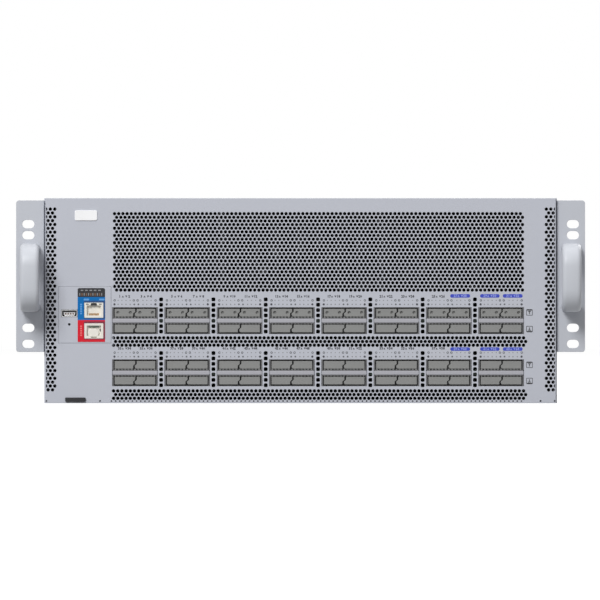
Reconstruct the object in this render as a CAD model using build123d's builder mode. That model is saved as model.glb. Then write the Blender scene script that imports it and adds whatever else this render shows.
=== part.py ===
from build123d import *
from math import cos, radians, sin, sqrt
import os

# Rack switch, four units high. Millimetres, +X right, +Y to the rear, +Z up, standing on its floor sheet.

# Chassis
rack_width = 482.6
ear_reach = 23.8
chassis_height = 174.0
chassis_depth = 700.0
sheet = 1.5
cover_sheet = 1.2
cover_lip = 12.0
slide_gap = 0.3
seat_gap = 0.2

# Front panel, folded back along its four edges
pan_depth = 22.0
tongue_depth = 15.0
tongue_lap = 4.0

# Air intake above the ports
intake_left_margin = 58.5
intake_right_margin = 28.0
intake_top_margin = 11.7
intake_low = 95.0
intake_rows = 4
intake_columns = 18
intake_web = 3.0

# Slots beside and between the ports
strip_slot_count = 8
strip_web = 5.35
strip_slot_height = 7.0
strip_z = 52.4
bottom_strip_z = 7.4
side_slot_count = 5
side_slot_width = 6.4
side_slot_web = 4.5
side_slot_margin = 16.5
side_slot_inset = 7.0
side_slots_lift = 1.0
vent_width = 3.3
vent_height = 30.6
vent_lift = 4.4

# Ports, in double cages on both faces of two boards
port_left_margin = 54.9
port_right_margin = 25.3
cage_count = 8
cage_gap = 8.35
cage_height = 9.4
cage_length = 52.0
cage_wall = 0.85
cell_web = 2.5
cell_height = 8.2
cell_depth = 46.0
upper_board_z = 70.1
lower_board_z = 25.9
board_sheet = 4.0
plug_length = 14.0
plug_face_height = 6.5
plug_recess = 0.8
plug_gap = 0.05

# Rack ears and front handles
ear_sheet = 2.5
ear_recess = 4.0
ear_top_margin = 1.9
ear_bottom = 43.5
ear_leg = 92.0
ear_corner = 2.2
slot_length = 10.3
slot_width = 7.0
slot_inset = 10.3
slot_low_outer = 50.4
slot_outer_margin = 27.0
slot_low_inner = 64.0
slot_inner_margin = 50.0
handle_inset = 12.1
handle_width = 16.3
handle_end_room = 70.6
handle_drop = 1.4
handle_reach = 36.0
handle_leg = 8.0
handle_grip = 10.0
handle_corner = 13.0
handle_inner_corner = 5.0
handle_side_round = 5.0

# Management corner
plate_inset = 34.5
plate_z = 75.0
plate_width = 44.6
plate_height = 47.8
plate_border = 2.0
plate_leg_depth = 15.0
label_shift = 5.6
label_z = 74.9
label_width = 23.2
label_height = 45.6
label_sheet = 0.25
jack_shift = 7.6
management_jack_z = 79.0
console_jack_z = 61.5
jack_width = 16.0
jack_height = 13.4
jack_mouth_width = 11.9
jack_mouth_height = 7.2
jack_mouth_depth = 12.0
jack_notch_width = 6.0
jack_notch_height = 2.2
usb_shift = -12.7
usb_z = 76.4
usb_width = 13.1
usb_height = 5.8
usb_wall = 0.5
usb_tongue_width = 10.4
usb_tongue_height = 1.6
button_shift = -13.1
button_z = 66.9
button_hole = 2.2
button_hole_sides = 8
button_pin = 1.2
button_recess = 1.2
button_travel = 0.8
button_foot = 3.6
management_board_sheet = 1.6

# Blank plate and pull-out tag
name_plate_shift = 1.0
name_plate_drop = 14.7
name_plate_width = 19.0
name_plate_height = 8.6
name_plate_sheet = 0.8
name_plate_corner = 0.8
tag_shift = -7.9
tag_head_width = 17.3
tag_head_height = 3.6
tag_head_drop = 1.1
tag_head_sheet = 1.5
tag_blade_width = 14.6
tag_blade_sheet = 1.0
tag_length = 88.0
sleeve_sheet = 0.6
sleeve_length = 76.0
tag_gap = 0.1

# Main boards and cooling
board_length = 322.0
board_front = 6.0
post_across = 7.0
post_rows = 2
chip_size = 72.0
chip_height = 4.0
chip_back = 200.0
sink_width = 176.0
sink_length = 140.0
sink_base = 6.0
sink_headroom = 21.2
sink_fins = 11
sink_fin_sheet = 2.0
cpu_board_width = 150.0
cpu_board_length = 78.0
cpu_board_front = 338.0
cpu_board_z = 25.9
cpu_board_sheet = 2.4
cpu_sink_size = 56.0
cpu_sink_height = 24.0
cpu_sink_fins = 5

# Rear bays
shelf_z = 50.0
fan_count = 3
fan_depth = 110.0
fan_ring_depth = 40.0
fan_bore_sides = 24
fan_ring_wall = 3.6
fan_near_wall = 6.2
fan_far_wall = 24.2
fan_grille_sheet = 2.0
grille_columns = 3
grille_rows = 3
grille_inset = 3.5
grille_web = 4.0
fan_handle_reach = 28.0
fan_handle_end_room = 14.6
fan_handle_width = 10.0
fan_handle_bar = 8.0
fan_handle_inset = 11.2
fan_handle_inner_corner = 4.0
fan_handle_side_round = 2.0
rotor_tip_gap = 2.5
rotor_hub_radius = 21.0
rotor_hub_length = 28.0
rotor_hub_sides = 16
rotor_blades = 7
blade_chord = 30.0
blade_sheet = 2.4
blade_pitch = 38.0
blade_root_share = 0.8
spider_bar = 7.0
spider_hub = 34.0
spider_sheet = 6.0
fan_board_height = 22.0
fan_board_ahead = 14.0
board_thin = 2.4

# Power supplies
psu_width = 90.0
psu_depth = 262.0
psu_sheet = 1.5
psu_window_room = 56.0
psu_window_web = 6.95
psu_window_gap = 2.5
psu_divider_back = 24.0
psu_rotor_tip_gap = 1.0
psu_hub_radius = 7.0
psu_hub_length = 12.0
psu_hub_sides = 12
psu_blades = 5
psu_blade_chord = 10.0
inlet_margin = 4.5
inlet_width = 27.0
inlet_height = 19.0
inlet_depth = 20.0
inlet_wall = 1.6
pin_width = 2.0
pin_height = 5.0
pin_spacing = 14.0
pin_lift = 3.2
psu_handle_gap = 3.0
psu_handle_width = 7.0
psu_handle_height = 38.0
psu_handle_bar = 6.0
psu_handle_reach = 26.0
psu_handle_inner_corner = 3.0
psu_handle_side_round = 1.4
latch_inset = 5.5
latch_sheet = 2.0
latch_height = 20.0
latch_reach = 18.0
latch_knuckle = 3.0
latch_tooth = 6.6
power_board_ahead = 12.0

# Rear vent panel between the supplies
rear_vent_columns = 6
rear_vent_margin = 15.9
rear_vent_web = 9.0
rear_vent_height = 26.0

# Worked out from the above
chassis_width = rack_width - 2 * ear_reach
rear_reach = max(fan_handle_reach, psu_handle_reach)
overall_depth = handle_reach + chassis_depth + rear_reach
front_y = handle_reach - overall_depth / 2
rear_y = front_y + chassis_depth
pan_back_y = front_y + pan_depth
tray_height = chassis_height - cover_sheet
inner_width = chassis_width - 2 * sheet
roof_z = tray_height - sheet
intake_left = intake_left_margin - chassis_width / 2
intake_right = chassis_width / 2 - intake_right_margin
intake_high = chassis_height - intake_top_margin
side_slot_pitch = (chassis_height - side_slot_margin) / side_slot_count
side_slot_height = side_slot_pitch - side_slot_web
side_slots_z = chassis_height / 2 + side_slots_lift
ear_front_y = front_y + ear_recess
ear_height = chassis_height - ear_bottom - ear_top_margin
slot_spacing_x = rack_width - 2 * slot_inset
slot_outer_spacing = ear_height - slot_outer_margin
slot_inner_spacing = ear_height - slot_inner_margin
handle_x = rack_width / 2 - handle_inset
handle_height = ear_height - handle_end_room
handle_z = ear_bottom + ear_height / 2 - handle_drop
port_field_x = (port_left_margin - port_right_margin) / 2
cage_pitch = (chassis_width - port_left_margin - port_right_margin) / cage_count
cage_width = cage_pitch - cage_gap
cell_width = (cage_width - cell_web) / 2 - cage_wall
cell_pitch = cell_width + cell_web
strip_slot_length = cage_pitch - strip_web
row_offset = (board_sheet + cage_height) / 2
row_z = [
    upper_board_z + row_offset,
    upper_board_z - row_offset,
    lower_board_z + row_offset,
    lower_board_z - row_offset,
]
board_width = (cage_count - 1) * cage_pitch + cage_width
board_back_y = front_y + board_front + board_length
jack_length = sheet + plate_leg_depth
plate_x = plate_inset - chassis_width / 2
label_x = plate_x + label_shift
jack_x = plate_x + jack_shift
usb_x = plate_x + usb_shift
button_x = plate_x + button_shift
name_plate_x = plate_x + name_plate_shift
name_plate_z = chassis_height - name_plate_drop
tag_x = plate_x + tag_shift
chip_base_z = upper_board_z + board_sheet / 2
sink_height = roof_z - sink_headroom - chip_base_z - chip_height
bay_top = roof_z - slide_gap
bay_floor = shelf_z + sheet + slide_gap
fan_height = bay_top - bay_floor
fan_z = bay_floor + fan_height / 2
bay_width = (inner_width - (fan_count - 1) * sheet) / fan_count
fan_width = bay_width - 2 * slide_gap
fan_bore = min(fan_width - fan_near_wall - fan_far_wall, fan_height - 2 * fan_ring_wall)
fan_offset = fan_near_wall + fan_bore / 2 - fan_width / 2
grille_pitch = (fan_bore - 2 * grille_inset) / grille_columns
grille_hole = grille_pitch - grille_web
fan_handle_height = fan_height - 2 * fan_handle_end_room
fan_handle_x = fan_width / 2 - fan_handle_inset
rotor_radius = fan_bore / 2 - rotor_tip_gap
fan_front_y = rear_y - fan_depth
psu_height = shelf_z - sheet - 2 * slide_gap
psu_z = sheet + slide_gap + psu_height / 2
psu_front_y = rear_y - psu_depth
psu_x = inner_width / 2 - slide_gap - psu_width / 2
psu_wall_x = psu_x - psu_width / 2 - slide_gap - sheet / 2
psu_window = min(psu_width - psu_window_room, psu_height - 2 * psu_window_web)
psu_rotor_radius = psu_window / 2 - psu_rotor_tip_gap
inlet_x = inlet_margin + inlet_width / 2 - psu_width / 2
psu_handle_x = inlet_x + inlet_width / 2 + psu_handle_gap + psu_handle_width / 2
psu_window_x = psu_handle_x + psu_handle_width / 2 + psu_window_gap + psu_window / 2
latch_x = psu_width / 2 - latch_inset
vent_panel_width = 2 * psu_wall_x - sheet
rear_vent_pitch = (vent_panel_width - 2 * rear_vent_margin) / rear_vent_columns
rear_vent_width = rear_vent_pitch - rear_vent_web


def across(y):
    """The plane across the switch at depth y, with its local x along X and its local y along Z."""
    return Plane.XZ.offset(-y)


def finish(part, name):
    """Names a finished piece and writes it."""
    part.label = name
    export_step(part, f"parts/{name}.step")


os.makedirs("parts", exist_ok=True)


# Folded floor and sides, with a stepped-in tongue that slips inside the front panel
with BuildPart() as chassis_tray:
    with BuildSketch(across(pan_back_y)):
        with Locations((0, tray_height / 2)):
            Rectangle(chassis_width, tray_height)
            Rectangle(inner_width, tray_height - 2 * sheet, mode=Mode.SUBTRACT)
        with Locations((0, tray_height - sheet)):
            Rectangle(inner_width - 2 * cover_lip, 4 * sheet, mode=Mode.SUBTRACT)
    extrude(amount=-(chassis_depth - pan_depth))
    with BuildSketch(across(pan_back_y - tongue_depth)):
        with Locations((0, tray_height / 2)):
            Rectangle(inner_width, tray_height - 2 * sheet)
            Rectangle(inner_width - 2 * sheet, tray_height - 4 * sheet, mode=Mode.SUBTRACT)
        with Locations((0, tray_height - 2 * sheet)):
            Rectangle(inner_width - 2 * sheet, 6 * sheet, mode=Mode.SUBTRACT)
    extrude(amount=-(tongue_depth + tongue_lap))
finish(chassis_tray.part, "chassis_tray")


# Flat cover sheet
with BuildPart() as top_cover:
    with BuildSketch(Plane.XY.offset(tray_height)):
        with Locations((0, (pan_back_y + rear_y) / 2)):
            Rectangle(chassis_width, chassis_depth - pan_depth)
    extrude(amount=cover_sheet)
finish(top_cover.part, "top_cover")


# Perforated front panel
intake_pitch = (intake_right - intake_left + intake_web) / (intake_columns + 0.5)
intake_row_pitch = intake_pitch * sqrt(3) / 2
intake_hole_radius = (intake_pitch - intake_web) / sqrt(3)
intake_x = (intake_left + intake_right) / 2
intake_z = (intake_low + intake_high) / 2
tag_slot_z = 2 * sheet + sleeve_sheet + tag_blade_sheet / 2 + tag_gap

with BuildPart() as front_panel:
    with BuildSketch(across(front_y)):
        with Locations((0, chassis_height / 2)):
            Rectangle(chassis_width, chassis_height)
    extrude(amount=-pan_depth)
    with BuildSketch(across(front_y + sheet)):
        with Locations((0, chassis_height / 2)):
            Rectangle(inner_width, chassis_height - 2 * sheet)
    extrude(amount=-pan_depth, mode=Mode.SUBTRACT)
    with BuildSketch(across(front_y)):
        for row in range(intake_rows):
            shift = intake_pitch / 4 * (1 if row % 2 else -1)
            lift = (row - (intake_rows - 1) / 2) * intake_row_pitch
            with Locations((intake_x + shift, intake_z + lift)):
                with GridLocations(intake_pitch, intake_row_pitch, intake_columns, 1):
                    RegularPolygon(intake_hole_radius, 6, rotation=30)
        with Locations((port_field_x, strip_z), (port_field_x, bottom_strip_z)):
            with GridLocations(cage_pitch, sheet, strip_slot_count, 1):
                Rectangle(strip_slot_length, strip_slot_height)
        for side in (-1, 1):
            with Locations((side * (chassis_width / 2 - side_slot_inset), side_slots_z)):
                with GridLocations(side_slot_width, side_slot_pitch, 1, side_slot_count):
                    Rectangle(side_slot_width, side_slot_height)
        with Locations((port_field_x, upper_board_z + vent_lift), (port_field_x, lower_board_z + vent_lift)):
            with GridLocations(cage_pitch, vent_height, cage_count - 1, 1):
                Rectangle(vent_width, vent_height)
        with Locations(*[(port_field_x, z) for z in row_z]):
            with GridLocations(cage_pitch, cage_height, cage_count, 1):
                Rectangle(cage_width + 2 * seat_gap, cage_height + 2 * seat_gap)
        with Locations((plate_x, plate_z)):
            Rectangle(plate_width + 2 * seat_gap, plate_height + 2 * seat_gap)
        with Locations((tag_x, tag_slot_z)):
            Rectangle(tag_blade_width + 4 * tag_gap, tag_blade_sheet + 4 * tag_gap)
    extrude(amount=-2 * sheet, mode=Mode.SUBTRACT)
finish(front_panel.part, "front_panel")


def rack_ear(side):
    """Angle bracket: a leg along the chassis side and a slotted face that turns outwards."""
    with BuildPart() as ear:
        with BuildSketch(across(ear_front_y)) as face:
            with Locations((side * (chassis_width + ear_reach) / 2, ear_bottom + ear_height / 2)):
                Rectangle(ear_reach, ear_height)
            outer = face.vertices().sort_by(Axis.X, reverse=side > 0)[:2]
            chamfer(outer, ear_corner)
            with Locations(*[(side * slot_spacing_x / 2, z) for z in slot_heights]):
                SlotOverall(slot_length, slot_width, mode=Mode.SUBTRACT)
        extrude(amount=-ear_sheet)
        with BuildSketch(Plane.XY.offset(ear_bottom)):
            with Locations((side * (chassis_width + ear_sheet) / 2, ear_front_y + ear_leg / 2)):
                Rectangle(ear_sheet, ear_leg)
        extrude(amount=ear_height)
    return ear.part


slot_heights = [
    slot_low_outer,
    slot_low_outer + slot_outer_spacing,
    slot_low_inner,
    slot_low_inner + slot_inner_spacing,
]
finish(rack_ear(-1), "rack_ear_left")
finish(rack_ear(1), "rack_ear_right")


def bow_handle(x, z, seat_y, tip_y, height, width, bar, grip, corner, inner_corner, side_round, turn):
    """Bow with its feet on y = seat_y and its grip at y = tip_y; turn shapes its two outer bends."""
    out = 1 if tip_y > seat_y else -1
    reach = abs(tip_y - seat_y)
    with BuildPart() as bow:
        with BuildSketch(Plane.YZ.offset(x - width / 2)) as outline:
            with Locations(((seat_y + tip_y) / 2, z)):
                Rectangle(reach, height)
            turn(outline.vertices().sort_by(Axis.X, reverse=out > 0)[:2], corner)
        extrude(amount=width)
        with BuildSketch(Plane.YZ.offset(x - width / 2)) as gap:
            with Locations(((seat_y + tip_y - out * grip) / 2, z)):
                Rectangle(reach - grip, height - 2 * bar)
            chamfer(gap.vertices().sort_by(Axis.X, reverse=out > 0)[:2], inner_corner)
        extrude(amount=width, mode=Mode.SUBTRACT)
        with BuildSketch(Plane.XY.offset(z - height / 2)) as plan:
            with Locations((x, (seat_y + tip_y) / 2)):
                Rectangle(width, reach)
            chamfer(plan.vertices().sort_by(Axis.Y, reverse=out > 0)[:2], side_round)
        extrude(amount=height, mode=Mode.INTERSECT)
    return bow.part


for side, name in ((-1, "left"), (1, "right")):
    finish(
        bow_handle(
            side * handle_x,
            handle_z,
            ear_front_y,
            front_y - handle_reach,
            handle_height,
            handle_width,
            handle_leg,
            handle_grip,
            handle_corner,
            handle_inner_corner,
            handle_side_round,
            fillet,
        ),
        f"front_handle_{name}",
    )


# Double port cages, eight to a row, each with two cells that open to the front
def port_cages(z):
    with BuildPart() as cages:
        with BuildSketch(across(front_y)):
            with Locations((port_field_x, z)):
                with GridLocations(cage_pitch, cage_height, cage_count, 1):
                    Rectangle(cage_width, cage_height)
        extrude(amount=-cage_length)
        with BuildSketch(across(front_y)):
            with Locations((port_field_x, z)):
                with GridLocations(cage_pitch, cage_height, cage_count, 1):
                    with GridLocations(cell_pitch, cell_height, 2, 1):
                        Rectangle(cell_width, cell_height)
        extrude(amount=-cell_depth, mode=Mode.SUBTRACT)
    return cages.part


def dust_plug(z):
    """One plug at x = 0: a wedge that fills its cell at the back and is lower at its face."""
    face_y = front_y + plug_recess
    seat_y = face_y + plug_length
    half_seat = cell_height / 2 - plug_gap
    half_face = plug_face_height / 2
    with BuildPart() as plug:
        with BuildSketch(Plane.YZ.offset(-cell_width / 2 + plug_gap)):
            with BuildLine():
                Polyline(
                    (face_y, z - half_face),
                    (face_y, z + half_face),
                    (seat_y, z + half_seat),
                    (seat_y, z - half_seat),
                    close=True,
                )
            make_face()
        extrude(amount=cell_width - 2 * plug_gap)
    return plug.part


cell_places = [
    port_field_x + (cage - (cage_count - 1) / 2) * cage_pitch + half * cell_pitch / 2
    for cage in range(cage_count)
    for half in (-1, 1)
]
for row, z in enumerate(row_z, start=1):
    finish(port_cages(z), f"port_cages_row_{row}")
    plug = dust_plug(z)
    with BuildPart() as plug_row:
        with Locations(*[(x, 0, 0) for x in cell_places]):
            add(plug)
    finish(plug_row.part, f"dust_plugs_row_{row}")


# Management corner: a plate set in the panel and seated behind it by a border, with two legs for its board
board_face_y = front_y + jack_length
with BuildPart() as management_plate:
    with BuildSketch(across(front_y)):
        with Locations((plate_x, plate_z)):
            Rectangle(plate_width, plate_height)
    extrude(amount=-sheet)
    with BuildSketch(across(front_y + sheet)):
        with Locations((plate_x, plate_z)):
            Rectangle(plate_width + 2 * plate_border, plate_height + 2 * plate_border)
    extrude(amount=-sheet)
    with BuildSketch(across(front_y + sheet)):
        for end in (-1, 1):
            with Locations((plate_x, plate_z + end * (plate_height + 2 * plate_border - sheet) / 2)):
                Rectangle(plate_width + 2 * plate_border, sheet)
    extrude(amount=-plate_leg_depth)
    with BuildSketch(across(front_y)):
        with Locations((jack_x, management_jack_z), (jack_x, console_jack_z)):
            Rectangle(jack_width + 2 * seat_gap, jack_height + 2 * seat_gap)
        with Locations((usb_x, usb_z)):
            Rectangle(usb_width + 2 * seat_gap, usb_height + 2 * seat_gap)
        with Locations((button_x, button_z)):
            RegularPolygon(button_hole / 2, button_hole_sides)
    extrude(amount=-3 * sheet, mode=Mode.SUBTRACT)
finish(management_plate.part, "management_plate")

with BuildPart() as management_label:
    with BuildSketch(across(front_y - label_sheet)):
        with Locations((label_x, label_z)):
            Rectangle(label_width, label_height)
        with Locations((jack_x, management_jack_z), (jack_x, console_jack_z)):
            Rectangle(jack_width + 2 * seat_gap, jack_height + 2 * seat_gap, mode=Mode.SUBTRACT)
    extrude(amount=-label_sheet)
finish(management_label.part, "management_label")

with BuildPart() as management_board:
    with BuildSketch(across(board_face_y)):
        with Locations((plate_x, plate_z)):
            Rectangle(plate_width + 2 * plate_border, plate_height + 2 * plate_border)
    extrude(amount=-management_board_sheet)
finish(management_board.part, "management_board")


def jack(z):
    """Eight-way modular jack: a body with a mouth and the latch notch above it."""
    with BuildPart() as body:
        with BuildSketch(across(front_y)):
            with Locations((jack_x, z)):
                Rectangle(jack_width, jack_height)
        extrude(amount=-jack_length)
        with BuildSketch(across(front_y)):
            with Locations((jack_x, z - jack_notch_height / 2)):
                Rectangle(jack_mouth_width, jack_mouth_height)
            with Locations((jack_x, z + jack_mouth_height / 2)):
                Rectangle(jack_notch_width, jack_notch_height)
        extrude(amount=-jack_mouth_depth, mode=Mode.SUBTRACT)
    return body.part


finish(jack(management_jack_z), "management_jack")
finish(jack(console_jack_z), "console_jack")

with BuildPart() as usb_port:
    with BuildSketch(across(front_y)):
        with Locations((usb_x, usb_z)):
            Rectangle(usb_width, usb_height)
            Rectangle(usb_width - 2 * usb_wall, usb_height - 2 * usb_wall, mode=Mode.SUBTRACT)
    extrude(amount=-jack_length)
    with BuildSketch(across(front_y + jack_length - sheet)):
        with Locations((usb_x, usb_z)):
            Rectangle(usb_width - 2 * usb_wall, usb_height - 2 * usb_wall)
    extrude(amount=-sheet)
    with BuildSketch(across(front_y + sheet)):
        with Locations((usb_x, usb_z + usb_height / 2 - usb_wall - usb_tongue_height)):
            Rectangle(usb_tongue_width, usb_tongue_height)
    extrude(amount=-plate_leg_depth)
finish(usb_port.part, "usb_port")

with BuildPart() as reset_button:
    with BuildSketch(across(front_y + button_recess)):
        with Locations((button_x, button_z)):
            Rectangle(button_pin, button_pin)
    extrude(amount=-(jack_length - button_recess - button_travel))
    with BuildSketch(across(front_y + jack_length - button_travel - button_foot)):
        with Locations((button_x, button_z)):
            Rectangle(button_foot, button_foot)
    extrude(amount=-(button_foot - slide_gap))
finish(reset_button.part, "reset_button")


# Blank plate on the panel
with BuildPart() as name_plate:
    with BuildSketch(across(front_y - name_plate_sheet)) as blank:
        with Locations((name_plate_x, name_plate_z)):
            Rectangle(name_plate_width, name_plate_height)
        chamfer(blank.vertices(), name_plate_corner)
    extrude(amount=-name_plate_sheet)
finish(name_plate.part, "name_plate")


# Pull-out tag in a sleeve on the floor, its head against the panel
with BuildPart() as info_tag:
    with BuildSketch(across(front_y - tag_head_sheet)):
        with Locations((tag_x, tag_slot_z - tag_head_drop)):
            Rectangle(tag_head_width, tag_head_height)
    extrude(amount=-tag_head_sheet)
    with BuildSketch(across(front_y)):
        with Locations((tag_x, tag_slot_z)):
            Rectangle(tag_blade_width, tag_blade_sheet)
    extrude(amount=-tag_length)
finish(info_tag.part, "info_tag")

sleeve_inner_width = tag_blade_width + 2 * tag_gap
sleeve_inner_height = tag_blade_sheet + 2 * tag_gap
with BuildPart() as info_tag_sleeve:
    with BuildSketch(across(front_y + sheet)):
        with Locations((tag_x, tag_slot_z)):
            Rectangle(sleeve_inner_width + 2 * sleeve_sheet, sleeve_inner_height + 2 * sleeve_sheet)
            Rectangle(sleeve_inner_width, sleeve_inner_height, mode=Mode.SUBTRACT)
    extrude(amount=-sleeve_length)
finish(info_tag_sleeve.part, "info_tag_sleeve")


# Main boards, held one over the other on posts
def flat_board(x, z, front, length, width, thickness):
    with BuildPart() as board:
        with BuildSketch(Plane.XY.offset(z - thickness / 2)):
            with Locations((x, front + length / 2)):
                Rectangle(width, length)
        extrude(amount=thickness)
    return board.part


for name, z in (("upper_port_board", upper_board_z), ("lower_port_board", lower_board_z)):
    finish(flat_board(port_field_x, z, front_y + board_front, board_length, board_width, board_sheet), name)

cpu_y = front_y + cpu_board_front + cpu_board_length / 2
post_spacing_x = board_width - 2 * post_across
post_first_y = front_y + cage_length + board_front + post_across
post_spacing_y = (board_back_y - post_across - post_first_y) / (post_rows - 1)
with BuildPart() as board_posts:
    for low, high in (
        (sheet, lower_board_z - board_sheet / 2),
        (lower_board_z + board_sheet / 2, upper_board_z - board_sheet / 2),
    ):
        with BuildSketch(Plane.XY.offset(low)):
            with Locations((port_field_x, post_first_y + post_spacing_y * (post_rows - 1) / 2)):
                with GridLocations(post_spacing_x, post_spacing_y, 2, post_rows):
                    Rectangle(post_across, post_across)
        extrude(amount=high - low)
    with BuildSketch(Plane.XY.offset(sheet)):
        with Locations((0, cpu_y)):
            with GridLocations(cpu_board_width - 2 * post_across, cpu_board_length - 2 * post_across, 2, 2):
                Rectangle(post_across, post_across)
    extrude(amount=cpu_board_z - cpu_board_sheet / 2 - sheet)
finish(board_posts.part, "board_posts")


def finned_sink(x, y, base_z, width, length, base, height, fins, fin_sheet):
    """Heatsink: a comb section, its fins upright and running front to back."""
    with BuildPart() as sink:
        with BuildSketch(across(y - length / 2)):
            with Locations((x, base_z + base / 2)):
                Rectangle(width, base)
            with Locations((x, base_z + height / 2)):
                with GridLocations((width - fin_sheet) / (fins - 1), height, fins, 1):
                    Rectangle(fin_sheet, height)
        extrude(amount=-length)
    return sink.part


chip_y = front_y + chip_back
with BuildPart() as switch_chip:
    with BuildSketch(Plane.XY.offset(chip_base_z)):
        with Locations((port_field_x, chip_y)):
            Rectangle(chip_size, chip_size)
    extrude(amount=chip_height)
finish(switch_chip.part, "switch_chip")
finish(
    finned_sink(
        port_field_x,
        chip_y,
        chip_base_z + chip_height,
        sink_width,
        sink_length,
        sink_base,
        sink_height,
        sink_fins,
        sink_fin_sheet,
    ),
    "chip_heatsink",
)

finish(
    flat_board(0, cpu_board_z, front_y + cpu_board_front, cpu_board_length, cpu_board_width, cpu_board_sheet),
    "cpu_board",
)
finish(
    finned_sink(
        0,
        cpu_y,
        cpu_board_z + cpu_board_sheet / 2,
        cpu_sink_size,
        cpu_sink_size,
        sink_base,
        cpu_sink_height,
        cpu_sink_fins,
        sink_fin_sheet,
    ),
    "cpu_heatsink",
)


# Rear bays: a shelf with upright walls between the fan modules, and two walls under it beside the supplies
bay_front_y = min(fan_front_y, psu_front_y)
with BuildPart() as fan_bay_frame:
    with BuildSketch(Plane.XY.offset(shelf_z)):
        with Locations((0, (bay_front_y + rear_y) / 2)):
            Rectangle(inner_width, rear_y - bay_front_y)
    extrude(amount=sheet)
    with BuildSketch(Plane.XY.offset(shelf_z + sheet)):
        with Locations((0, rear_y - fan_depth / 2)):
            with GridLocations(bay_width + sheet, fan_depth, fan_count - 1, 1):
                Rectangle(sheet, fan_depth)
    extrude(amount=tray_height - shelf_z - sheet)
    with BuildSketch(Plane.XY.offset(sheet)):
        with Locations((0, rear_y - psu_depth / 2)):
            with GridLocations(2 * psu_wall_x, psu_depth, 2, 1):
                Rectangle(sheet, psu_depth)
    extrude(amount=shelf_z - sheet)
finish(fan_bay_frame.part, "fan_bay_frame")

with BuildPart() as rear_vent_panel:
    with BuildSketch(across(rear_y - sheet)):
        with Locations((0, (sheet + shelf_z) / 2)):
            Rectangle(vent_panel_width, shelf_z - sheet)
            with GridLocations(rear_vent_pitch, rear_vent_height, rear_vent_columns, 1):
                Rectangle(rear_vent_width, rear_vent_height, mode=Mode.SUBTRACT)
    extrude(amount=-sheet)
finish(rear_vent_panel.part, "rear_vent_panel")

# Upright boards that the modules plug into
with BuildPart() as fan_board:
    with BuildSketch(across(fan_front_y - fan_board_ahead)):
        with Locations((0, shelf_z + sheet + fan_board_height / 2)):
            Rectangle(inner_width - 2 * cover_lip, fan_board_height)
    extrude(amount=-board_thin)
finish(fan_board.part, "fan_board")

with BuildPart() as power_board:
    with BuildSketch(across(psu_front_y - power_board_ahead)):
        with Locations((0, sheet + psu_height / 2)):
            Rectangle(inner_width - 2 * cover_lip, psu_height)
    extrude(amount=-board_thin)
finish(power_board.part, "power_board")


def bladed_rotor(x, z, hub_y, hub_radius, hub_length, hub_sides, tip_radius, blades, chord):
    """Axial rotor on an axis along Y: a plain hub and flat blades set at a pitch."""
    middle_y = hub_y + hub_length / 2
    root = hub_radius * blade_root_share
    with BuildPart() as rotor:
        with BuildSketch(across(hub_y)):
            with Locations((x, z)):
                RegularPolygon(hub_radius, hub_sides)
        extrude(amount=-hub_length)
        for blade in range(blades):
            angle = radians(360 * blade / blades)
            outward = (cos(angle), 0, sin(angle))
            origin = (x + root * outward[0], middle_y, z + root * outward[2])
            with BuildSketch(Plane(origin=origin, x_dir=(0, 1, 0), z_dir=outward)):
                Rectangle(chord, blade_sheet, rotation=blade_pitch)
            extrude(amount=tip_radius - root)
    return rotor.part


def fan_frame(x):
    """Module housing: a sheet sleeve with a thick moulded ring round the rotor and a spider behind it."""
    with BuildPart() as frame:
        with BuildSketch(across(fan_front_y)):
            with Locations((x, fan_z)):
                Rectangle(fan_width, fan_height)
        extrude(amount=-(fan_depth - fan_grille_sheet))
        with BuildSketch(across(fan_front_y)):
            with Locations((x, fan_z)):
                Rectangle(fan_width - 2 * sheet, fan_height - 2 * sheet)
        extrude(amount=-(fan_depth - fan_ring_depth - fan_grille_sheet), mode=Mode.SUBTRACT)
        with BuildSketch(across(fan_front_y)):
            with Locations((x + fan_offset, fan_z)):
                RegularPolygon(fan_bore / 2, fan_bore_sides)
        extrude(amount=-fan_depth, mode=Mode.SUBTRACT)
        with BuildSketch(across(rear_y - fan_grille_sheet - spider_sheet)):
            with Locations((x + fan_offset, fan_z)):
                Rectangle(fan_bore + 2 * sheet, spider_bar)
                Rectangle(spider_bar, fan_bore + 2 * sheet)
                Rectangle(spider_hub, spider_hub)
        extrude(amount=-spider_sheet)
    return frame.part


def fan_grille(x):
    """Outer face of the module, with a square grid of openings over the rotor."""
    with BuildPart() as grille:
        with BuildSketch(across(rear_y - fan_grille_sheet)):
            with Locations((x, fan_z)):
                Rectangle(fan_width, fan_height)
            with Locations((x + fan_offset, fan_z)):
                with GridLocations(grille_pitch, grille_pitch, grille_columns, grille_rows):
                    Rectangle(grille_hole, grille_hole, mode=Mode.SUBTRACT)
        extrude(amount=-fan_grille_sheet)
    return grille.part


rotor_hub_y = rear_y - fan_grille_sheet - spider_sheet - slide_gap - rotor_hub_length
for number in range(1, fan_count + 1):
    x = (number - (fan_count + 1) / 2) * (bay_width + sheet)
    finish(fan_frame(x), f"fan_{number}_frame")
    finish(fan_grille(x), f"fan_{number}_grille")
    finish(
        bladed_rotor(
            x + fan_offset,
            fan_z,
            rotor_hub_y,
            rotor_hub_radius,
            rotor_hub_length,
            rotor_hub_sides,
            rotor_radius,
            rotor_blades,
            blade_chord,
        ),
        f"fan_{number}_rotor",
    )
    finish(
        bow_handle(
            x + fan_handle_x,
            fan_z,
            rear_y,
            rear_y + fan_handle_reach,
            fan_handle_height,
            fan_handle_width,
            fan_handle_bar,
            fan_handle_bar,
            fan_handle_bar,
            fan_handle_inner_corner,
            fan_handle_side_round,
            chamfer,
        ),
        f"fan_{number}_handle",
    )


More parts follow.
